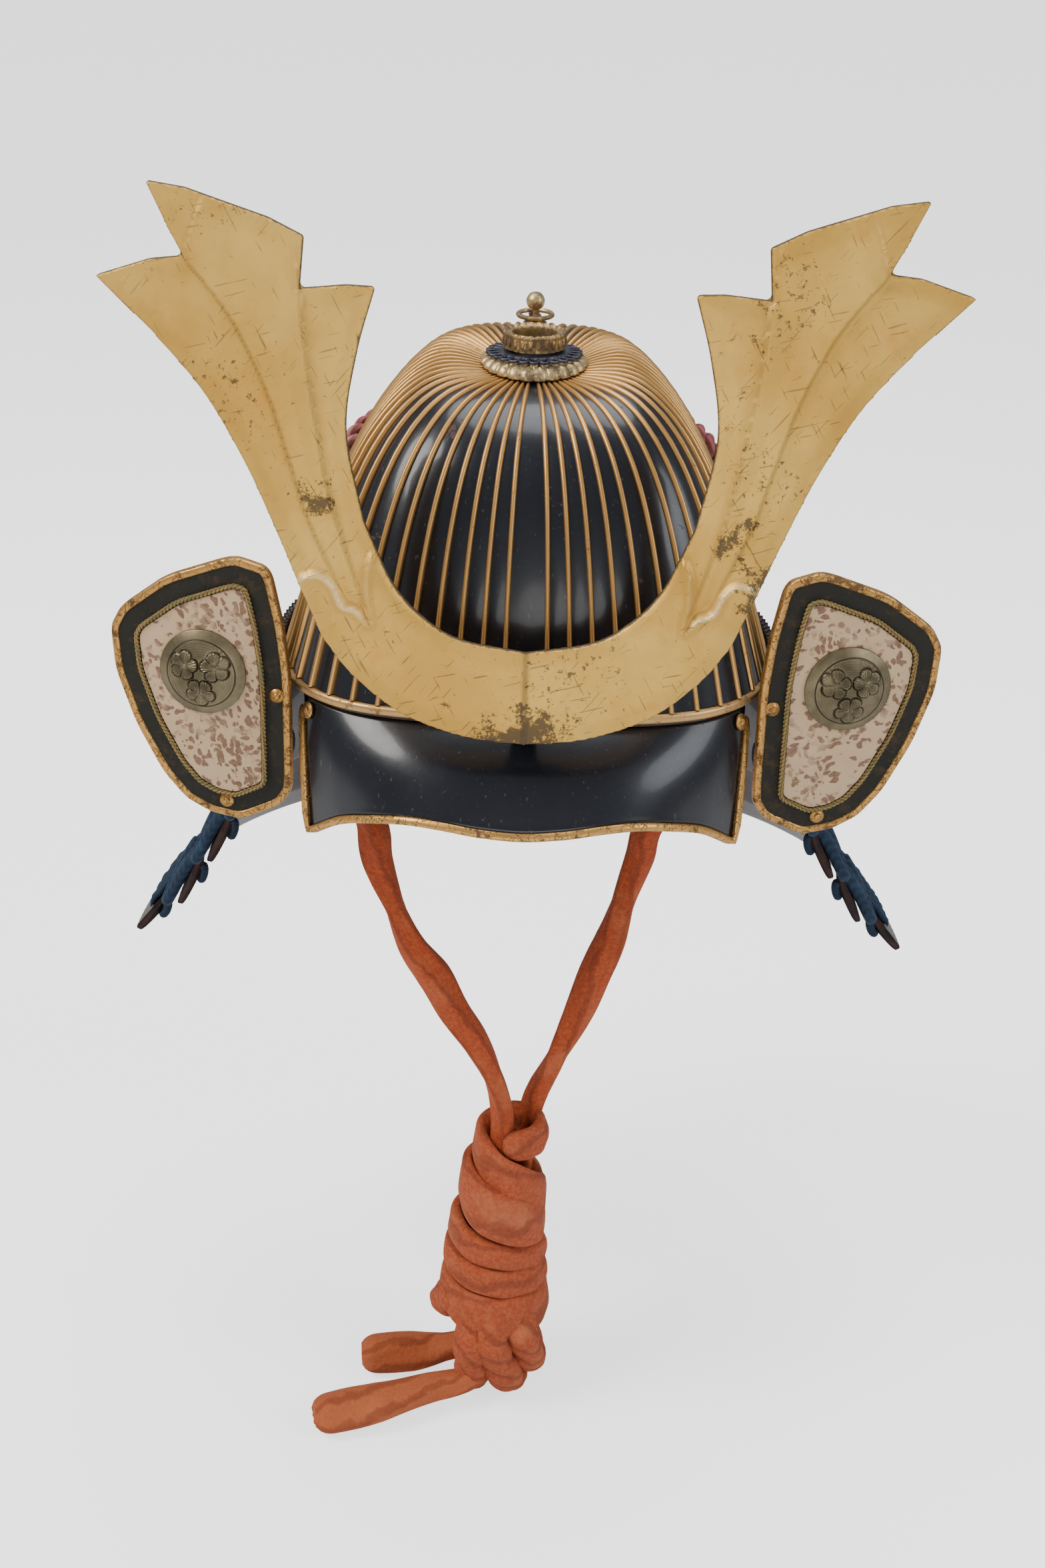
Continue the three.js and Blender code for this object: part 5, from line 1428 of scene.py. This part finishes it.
def lame_top(number):
    """Half-width and height of a board's upper edge, which goes up behind the board over it."""
    if number == 0:
        return BOWL_HALF_WIDTH + RIM_BAND_REACH + SEAT_GAP + LAME_WALL / 2 + SEAT_GAP, -2
    flare, edge, _ = LAMES[number - 1]
    half_width = BOWL_HALF_WIDTH + flare
    top_width, top_height = lame_top(number - 1)
    slope = (half_width - top_width) / (top_height - edge)
    clear = (LAME_WALL + 2 * SEAT_GAP) * math.hypot(1, slope)
    return half_width - slope * LAME_OVERLAP + clear, edge + LAME_OVERLAP


def lame_surface(number):
    """A board's middle surface, and its length and height."""
    top_width, top_height = lame_top(number)
    flare, edge, start = LAMES[number]
    start = math.radians(start)

    def surface(u, v):
        angle = start + (TURN - 2 * start) * np.asarray(u, float)
        half_width = top_width + (BOWL_HALF_WIDTH + flare - top_width) * np.asarray(v, float)
        radius = plan_radius(angle) * half_width / BOWL_HALF_WIDTH
        return at_angle(angle, radius, top_height + (edge - top_height) * np.asarray(v, float))

    length = line_length(surface(np.linspace(0, 1, 200), np.full(200, 0.5)))
    tall = np.linalg.norm(at_spot(surface, 0.5, 1.0) - at_spot(surface, 0.5, 0.0))
    return surface, length, tall


def outward_normal(surface, u, v):
    """The surface's normal, turned away from the head."""
    middle = at_spot(lambda *at: surface_normal(surface, *at), 0.5, 0.5)
    return surface_normal(surface, u, v) * (1 if middle[1] > 0 else -1)


class HELMET_OT_neck_guard(bpy.types.Operator):
    """Adds the five scale boards, the rows of blue lacing, and the slack laces at their ends"""
    bl_idname = "helmet.neck_guard"
    bl_label = "Neck guard"

    def execute(self, context):
        lacquer = paint_plain("scale_lacquer", (0.006, 0.004, 0.004), (0.03, 0.011, 0.008), 90,
                              0.32, 0.0, 0.12, Specular_IOR_Level=0.22)
        silk = paint_braid("lacing_silk", context.scene.helmet_guard.lacing, (0.02, 0.075, 0.15))
        for number in range(len(LAMES)):
            self.board(number, lacquer)
            self.lacing(number, silk)
        self.slack(silk)
        return {"FINISHED"}

    def board(self, number, lacquer):
        """A board of scales with beaded heads, as one sleeve."""
        surface, length, tall = lame_surface(number)
        scales = int(length / SCALE_PITCH)

        def place(u, v, n):
            turn = TURN * v
            down = 0.5 - 0.5 * power(np.cos(turn), 0.9)
            crown = np.abs(np.sin(math.pi * scales * u)) ** 0.6
            outer = np.sin(turn)
            lift = LAME_WALL / 2 * power(outer, 0.35)
            beads = smooth_step(np.clip(1 - down / (SCALE_HEAD / tall), 0, 1), 0.05, 0.6)
            heads = beads * (0.5 + 2.7 * crown) + (1 - beads) * 0.22 * crown
            near_end = 1 - smooth_step(np.minimum(u, 1 - u) * length, 1.5, 7)
            swell = 1 + 1.9 * near_end * smooth_step(down, 0.25, 0.45)
            lift = np.where(outer > 0, lift + heads, lift * swell)
            down = np.clip(down + 0.04 * (1 - crown) * (down < 0.05), 0, 1)
            normal = outward_normal(surface, u, np.clip(down, 0.02, 0.98))
            return surface(u, down) + normal * lift[:, None]

        name = f"scale_board_{number + 1}"
        mesh = fill_ends(weld(grids(name, 1, scales * 6, 28, place)))
        piece(name, mesh, lacquer, "scale_lacquer", f"neck_lame_{number + 1}")

    def lacing(self, number, silk):
        """A close row of laces over a board, each a little out of line."""
        surface, length, tall = lame_surface(number)
        laces = int(length / (SCALE_PITCH * 0.92))
        bare = BARE_END / length
        first, last = LACE_START / tall, 1 - (LAME_OVERLAP + 0.8) / tall
        if number == len(LAMES) - 1:
            last = LOWEST_LACE_END
        draw = np.random.default_rng(40 + number)
        shift, swell = draw.uniform(-0.06, 0.06, laces), draw.uniform(0.85, 1.12, laces)

        def place(u, v, n):
            turn = TURN * v
            middle = bare + (1 - 2 * bare) * (n + 0.5 + shift[n]) / laces
            across = middle + np.cos(turn) * (0.5 / laces * 1.04)
            down = first + (last - first) * u
            bulge = np.sin(math.pi * np.clip(u, 0.02, 0.98)) ** 0.35
            body = (0.35 + np.sin(turn)) * 1.7 * swell[n]
            body = body * np.sqrt(np.clip(1 - (2 * u - 1) ** 6, 0, 1))
            knot = 0.35 * np.sin(TURN * 2.5 * u + 2.4 * n)
            lift = LAME_WALL / 2 + 0.45 + body + 0.9 * bulge + knot * bulge
            normal = outward_normal(surface, np.clip(across, 0.001, 0.999),
                                    np.clip(down, 0.02, 0.98))
            return surface(across, down) + normal * lift[:, None]

        mesh = weld(grids(f"lacing_{number + 1}", laces, 10, 8, place), 0.01)
        piece(f"blue_lacing_{number + 1}", mesh, silk, "blue_silk", f"lacing_{number + 1}")

    def slack(self, silk):
        """Bundles of lace that sag in front of the next board's end, and short ends behind."""
        bundles, stubs = [], []
        for number, (_, _, start) in enumerate(LAMES):
            surface, _, _ = lame_surface(number)
            last = number == len(LAMES) - 1
            onward = (start if last else LAMES[number + 1][2]) + 2.5
            whole = TURN - 2 * math.radians(start)
            span = math.radians(max(onward - start, 3)) / whole

            def hung(rows, side, count):
                points = []
                for share, down, lift in rows:
                    u = span * share if side > 0 else 1 - span * share
                    normal = at_spot(lambda *at: outward_normal(surface, *at), u, 0.5)
                    points.append(at_spot(surface, u, down) + normal * lift)
                return curve(points, 30, count)

            for side in (-1, 1):
                for shift, sag in () if last else BUNDLES:
                    (top, bottom), middle = BUNDLE_ENDS, [(0.3, sag, 5.4), (0.55, sag + 0.02, 5.8)]
                    rows = np.array([*top, *middle, *bottom]) + (shift, 0, 0)
                    bundles.append(hung(rows, side, 120))
                stubs.append(hung(STUB, side, 60))
        meshes = [rod("bundles", bundles, 3.1, sides=12), rod("stubs", stubs, 2.5, sides=10)]
        piece("slack_laces", joined("slack_laces", meshes), silk, "blue_silk")


def fill_ends(mesh):
    """Closes the open ends of a sleeve."""
    with editing(mesh) as bm:
        bmesh.ops.holes_fill(bm, edges=[e for e in bm.edges if e.is_boundary], sides=0)
        bmesh.ops.recalc_face_normals(bm, faces=bm.faces)
    return mesh


# --- Turnbacks ----------------------------------------------------------------------------------

# The right one's outline, as shares of its width and height.
TURNBACK_OUTLINE = [
    (0, 0.13), (0, 0.57), (0.035, 0.77), (0.1, 0.97), (0.28, 1), (0.67, 0.905), (0.93, 0.78),
    (0.99, 0.71), (0.975, 0.55), (0.87, 0.345), (0.72, 0.157), (0.59, 0.06), (0.45, 0.015),
    (0.28, 0), (0.06, 0.07),
]
# Where the tabs of the rim are pinned, in the same shares.
PINS = [(0.035, 0.5), (0.36, 0.05)]
TURNBACK_SIZE = (TURNBACK_WIDTH, TURNBACK_HEIGHT)
# The flowers on the boss: how many, their distance from its middle, and their petals' reach.
FLOWERS, FLOWER_DISTANCE, FLOWER_REACH = 3, 8.9, 7.3
BOSS_BORDER, BOSS_FOOT = 16.6, 1.0


def offset_outline(outline, distance):
    """A closed outline moved out by a distance; its points run with the inside on their right."""
    ways = (outline - np.roll(outline, 1, axis=0), np.roll(outline, -1, axis=0) - outline)
    first, second = (unit(np.column_stack([-way[:, 1], way[:, 0]])) for way in ways)
    mitre = unit(first + second)
    return outline + mitre * (distance / (mitre * second).sum(1))[:, None]


def rounded(outline, count=200, share=0.22):
    """The outline with its corners cut round, as even points."""
    rows = []
    for a, b, c in zip(np.roll(outline, 1, axis=0), outline, np.roll(outline, -1, axis=0)):
        p, q = b + (a - b) * share, b + (c - b) * share
        for t in np.linspace(0, 1, 7):
            rows.append((1 - t) ** 2 * p + 2 * t * (1 - t) * b + t**2 * q)
    return even(np.column_stack([rows, np.zeros(len(rows))]), count, closed=True)[:, :2]


def flower_at(x, z, number):
    """At places on the boss: distance from a flower's heart, turn round it, petal and edge."""
    way = TURN * (number / FLOWERS + 1 / 12)
    x, z = x - FLOWER_DISTANCE * math.cos(way), z - FLOWER_DISTANCE * math.sin(way)
    around = np.arctan2(z, x)
    petal = np.abs(np.cos(2.5 * (around - way)))
    return np.hypot(x, z), around, petal, FLOWER_REACH * (0.66 + 0.34 * petal ** 0.5)


class HELMET_OT_turnbacks(bpy.types.Operator):
    """Adds both turnbacks: leather, printed panel, twisted piping, engraved rim, tabs and boss"""
    bl_idname = "helmet.turnbacks"
    bl_label = "Turnbacks"

    def execute(self, context):
        border = paint_grained_leather("border_leather")
        panel = paint_printed_leather("panel_leather")
        piping = paint_thread("piping_silk", (0.36, 0.24, 0.08), (0.12, 0.13, 0.05), 2, 150, 0.6)
        rim = paint_gilt("turnback_gilding", (0.6, 0.33, 0.1), (0.08, 0.035, 0.012), 0.56,
                         scroll_relief(260))
        # The boss's cut lines and ringed ground get a dark painted shade.
        brass = paint_plain("boss_brass", (0.13, 0.105, 0.06), (0.22, 0.18, 0.105), 60, 0.38, 0.85,
                            0.05, cut=(0.022, 0.017, 0.01))
        outline = np.multiply(TURNBACK_OUTLINE, TURNBACK_SIZE) + (0, TURNBACK_FOOT)
        inner = offset_outline(outline, -PANEL_INSET)
        front, over = TURNBACK_WALL, TURNBACK_WALL + SEAT_GAP
        for side, name in ((-1, "left"), (1, "right")):
            turned = Matrix.Rotation(side * math.radians(TURNBACK_SWEEP), 4, "Z")
            spot = Matrix.Translation((side * TURNBACK_ROOT * MM, -TURNBACK_FORWARD * MM, 0))
            pipe = rounded(offset_outline(inner, PIPING + SEAT_GAP), 520)
            pipe = vectors(pipe[:, 0], -(over + PIPING), pipe[:, 1])
            pins = [tab((TURNBACK_WIDTH * across, -front - 0.6,
                         TURNBACK_FOOT + TURNBACK_HEIGHT * up), (0, -1, 0), 3.6)
                    for across, up in PINS]
            for label, mesh, paint, slot, *nodes in (
                    ("plate", self.slab("plate", rounded(outline), front, TURNBACK_WALL, 0.7),
                     border, "border_leather", "plate"),
                    ("panel", self.slab("panel", rounded(inner), over + PANEL_THICKNESS,
                                        PANEL_THICKNESS, 0.35), panel, "panel_leather", "panel"),
                    ("piping", twisted("piping", pipe, PIPING * 1.1, 4.2, sides=8, closed=True),
                     piping, "twisted_silk", "piping"),
                    ("edging", self.rim(outline, front), rim, "gilt_copper", "rim"),
                    ("boss", self.boss(over + PANEL_THICKNESS + SEAT_GAP), brass, "dull_brass",
                     "boss"),
                    ("pins", joined("pins", pins), rim, "gilt_copper")):
                self.settle(mesh, side, spot @ turned)
                replaced = [f"turnback_{node}_{name}" for node in nodes]
                piece(f"{name}_turnback_{label}", mesh, paint, slot, *replaced)
        return {"FINISHED"}

    def settle(self, mesh, side, spot):
        """Moves a piece made for the right side to its place, mirrored where it is the left's."""
        with editing(mesh) as bm:
            bmesh.ops.transform(bm, matrix=spot @ Matrix.Diagonal((side, 1, 1, 1)), verts=bm.verts)
            bmesh.ops.recalc_face_normals(bm, faces=bm.faces)

    def slab(self, name, outline, front, depth, soft):
        """A plate of an outline with a rounded front edge."""
        mesh = bpy.data.meshes.new(name)
        with editing(mesh) as bm:
            top = set(extrude(bm, outline, depth - front, -depth))
            edges = [e for e in bm.edges if all(v in top for v in e.verts)]
            bmesh.ops.bevel(bm, geom=edges, offset=soft * MM, offset_type="OFFSET", segments=3,
                            profile=0.5, affect="EDGES", material=-1)
            bmesh.ops.recalc_face_normals(bm, faces=bm.faces)
        crease(mesh, 40)
        return mesh

    def rim(self, outline, front):
        """The metal edging round the plate's outline."""
        middle = rounded(offset_outline(outline, SEAT_GAP + TURNBACK_RIM / 2 - 0.4), 260)
        line = vectors(middle[:, 0], TURNBACK_WALL / 2 - front, middle[:, 1])
        out = unit(np.cross(np.roll(line, -1, axis=0) - np.roll(line, 1, axis=0), (0, 1.0, 0)))
        out = out * np.sign(((line - line.mean(axis=0)) * out).sum(1).mean())
        through_plate = vectors(np.zeros(len(line)), 1, 0)
        tables = [np.vstack([rows, rows[:1]]) for rows in (line, out, through_plate)]
        half_wide, half_deep = TURNBACK_RIM / 2 + 0.55, TURNBACK_WALL / 2 + RIM_PROUD
        return strip("edging", len(line) * 2, 18, tables,
                     lambda u, turn: (power(np.cos(turn), 0.6) * half_wide,
                                      power(np.sin(turn), 0.6) * half_deep))

    def boss(self, foot):
        """A low dome with three five-petalled flowers cut into its middle."""
        middle = np.multiply((BOSS_ACROSS, BOSS_UP), TURNBACK_SIZE) + (0, TURNBACK_FOOT)

        def place(u, v, number):
            radius = BOSS_RADIUS * np.interp(v, (0, 0.08, 1), (1, 1, 0))
            x, z = radius * np.cos(TURN * u), radius * np.sin(TURN * u)
            dome = (BOSS_HEIGHT - BOSS_FOOT) * (1 - (radius / BOSS_RADIUS) ** 2.2)
            height = np.where(v < 0.08, v / 0.08 * BOSS_FOOT, BOSS_FOOT + dome)
            cut, covered = np.zeros_like(x), np.zeros_like(x)
            for flower in range(FLOWERS):
                away, around, petal, edge = flower_at(x, z, flower)
                inside = smooth_step(away, edge + 0.25, edge - 0.25)
                veins = 0.13 * np.sin(30 * around) * smooth_step(away, 1, 3)
                rise = 0.22 + veins - 0.22 * (1 - petal) ** 3 + 0.3 * bell(away, 1.1)
                cut = cut * (1 - inside) + inside * rise - 0.36 * bell(away - edge, 0.4)
                covered = np.maximum(covered, inside)
            stipple = 0.07 * np.sin(x * 7.3) * np.sin(z * 7.1) - 0.12
            relief = smooth_step(radius, 16.4, 15.9) * (cut + stipple * (1 - covered))
            height = height + 1.7 * relief - 0.28 * bell(radius - BOSS_BORDER, 0.3)
            return vectors(middle[0] + x, -(foot + height), middle[1] + z)

        mesh = fill_ends(weld(grids("boss", 1, 200, 120, place), 0.01))
        # How dark each point is: painted shade in the engraved lines and the ringed ground.
        x, z = get_points(mesh)[:, [0, 2]].T - middle[:, None]
        radius = np.hypot(x, z)
        ground = 0.3 * (np.sin(radius * 5.5) > 0.5) * (radius < 16)
        lines = bell(radius - BOSS_BORDER, 0.35) + ground
        for flower in range(FLOWERS):
            away, around, petal, edge = flower_at(x, z, flower)
            inside = away < edge
            veins = 0.5 * (np.sin(30 * around) > 0.3) * (away > 1.2) * (away < edge * 0.8)
            lines = lines * ~inside + inside * np.maximum(veins, bell(petal, 0.12))
            lines = np.maximum(lines, bell(away - edge, 0.4))
        put_values(mesh, "cut", np.clip(lines, 0, 1))
        return mesh


# --- Stage --------------------------------------------------------------------------------------

CAMERA_PLACE = (0.0, -1.030, 0.395)
CAMERA_PITCH, CAMERA_ROLL = 25.03, 1.56
CAMERA_LENS, CAMERA_SENSOR = 50, 36
FLOOR_HEIGHT, FLOOR_REACH = -0.4475, 40
# The lamps: name, place, aim, size, power and tint.
LAMPS = [
    ("key", (-1.7, -0.7, 1.9), (0, 0, 0), 1.4, 64, (1, 0.97, 0.93)),
    ("right", (1.9, -1.0, 1.1), (0, 0, -0.05), 1.5, 25, (0.92, 0.96, 1)),
    ("top", (0.1, 0.5, 2.0), (0, 0, 0), 1.4, 26, (0.95, 0.97, 1)),
    ("low", (0, -2.2, -0.1), (0, 0, -0.15), 1.2, 11, (1, 0.98, 0.95)),
]


class HELMET_OT_stage(bpy.types.Operator):
    """Adds the pale floor, the soft studio lights and the camera"""
    bl_idname = "helmet.stage"
    bl_label = "Stage"

    def execute(self, context):
        sizes = context.scene.helmet_stage
        camera = bpy.data.cameras.new("studio_camera")
        camera.lens, camera.sensor_width = CAMERA_LENS, CAMERA_SENSOR
        holder = show("studio_camera", camera)
        holder.location = CAMERA_PLACE
        turned = Matrix.Rotation(math.radians(90 - CAMERA_PITCH), 4, "X") @ Matrix.Rotation(
            math.radians(CAMERA_ROLL), 4, "Z")
        holder.rotation_euler = turned.to_euler()
        context.scene.camera = holder
        self.floor(sizes)
        world = bpy.data.worlds.new("studio")
        world.use_nodes = True
        background = world.node_tree.nodes["Background"]
        background.inputs["Color"].default_value = (0.93, 0.95, 1, 1)
        background.inputs["Strength"].default_value = sizes.fill
        context.scene.world = world
        for name, place, aim, size, strength, tint in LAMPS:
            light = bpy.data.lights.new(name, "AREA")
            light.shape, light.size, light.color = "DISK", size, tint
            light.energy = strength * sizes.light
            lamp = show(name, light)
            lamp.location = place
            lamp.rotation_euler = (Vector(aim) - Vector(place)).to_track_quat("-Z", "Y").to_euler()
        return {"FINISHED"}

    def floor(self, sizes):
        """A pale floor that gives light of its own only where the camera sees it."""
        paint = Paint("pale_floor", Roughness=0.9, Specular_IOR_Level=0.2,
                      Base_Color=(*sizes.floor, 1), Emission_Strength=sizes.glow)
        seen = paint.node("ShaderNodeLightPath", {})
        paint.set(Emission_Color=paint.mix(seen, (0, 0, 0), (1, 1, 1)))
        mesh = bpy.data.meshes.new("floor")
        with editing(mesh) as bm:
            bmesh.ops.create_grid(bm, x_segments=1, y_segments=1, size=FLOOR_REACH,
                                  matrix=Matrix.Translation((0, 0, FLOOR_HEIGHT)))
        mesh.materials.append(paint.material)
        show("floor", mesh)


# --- Settings, panel and start ------------------------------------------------------------------

def colour(name, text, value):
    return bpy.props.FloatVectorProperty(name=name, description=text, subtype="COLOR",
                                         default=value, min=0, max=1)


def factor(name, text, value):
    return bpy.props.FloatProperty(name=name, description=text, default=value, min=0)


class HelmetCords(bpy.types.PropertyGroup):
    """Colours of the cords"""
    crepe: colour("Crepe", "Colour of the chin cord's strands", (0.45, 0.072, 0.013))
    faded_crepe: colour("Faded crepe", "Colour of the wound stretch of the chin cord",
                        (0.44, 0.1, 0.03))
    bow_silk: colour("Bow silk", "Colour of the rear bow", (0.4, 0.1, 0.1))


class HelmetMetal(bpy.types.PropertyGroup):
    """Sizes and colours of the bowl and its metal"""
    # The lacquer's colour is tinted blue as a painted sheen.
    lacquer: colour("Lacquer", "Colour of the black lacquer", (0.004, 0.005, 0.009))
    gilding: colour("Gilding", "Colour of the gilt ribs", (0.64, 0.37, 0.13))
    rib_width: bpy.props.FloatProperty(
        name="Rib width", description="Width of a rib at the rim", default=2.5 * MM, min=1 * MM,
        max=5 * MM, unit="LENGTH")


class HelmetGuard(bpy.types.PropertyGroup):
    """Colours of the neck guard"""
    lacing: colour("Lacing", "Colour of the guard's silk lacing", (0.004, 0.024, 0.06))


class HelmetStage(bpy.types.PropertyGroup):
    """Light and floor of the studio"""
    floor: colour("Floor", "Colour of the floor", (0.82, 0.82, 0.825))
    fill: factor("Fill", "Strength of the light from all round", 0.4)
    glow: factor("Glow", "Light that the floor gives of itself", 1.5)
    light: factor("Light", "Factor on all the lamps", 1.0)


OPERATORS = (HELMET_OT_stage, HELMET_OT_chin_cord, HELMET_OT_cord_rings, HELMET_OT_rear_bow,
             HELMET_OT_bowl, HELMET_OT_crown_fitting, HELMET_OT_visor, HELMET_OT_crest,
             HELMET_OT_neck_guard, HELMET_OT_turnbacks)
GROUPS = {"helmet_cords": HelmetCords, "helmet_metal": HelmetMetal, "helmet_guard": HelmetGuard,
          "helmet_stage": HelmetStage}


class HELMET_PT_panel(bpy.types.Panel):
    """Lists the helmet's pieces and settings"""
    bl_idname = "HELMET_PT_panel"
    bl_label = "Helmet"
    bl_space_type = "VIEW_3D"
    bl_region_type = "UI"
    bl_category = "Helmet"

    def draw(self, context):
        for operator in OPERATORS:
            self.layout.operator(operator.bl_idname)
        for group, settings in GROUPS.items():
            for name in settings.__annotations__:
                self.layout.prop(getattr(context.scene, group), name)


CLASSES = (*GROUPS.values(), *OPERATORS, HELMET_PT_panel)


def register():
    for each in CLASSES:
        bpy.utils.register_class(each)
    for name, group in GROUPS.items():
        setattr(bpy.types.Scene, name, bpy.props.PointerProperty(type=group))


def unregister():
    for name in GROUPS:
        delattr(bpy.types.Scene, name)
    for each in reversed(CLASSES):
        bpy.utils.unregister_class(each)


def main():
    register()
    for operator in OPERATORS:
        group, name = operator.bl_idname.split(".")
        getattr(getattr(bpy.ops, group), name)()


if __name__ == "__main__":
    main()
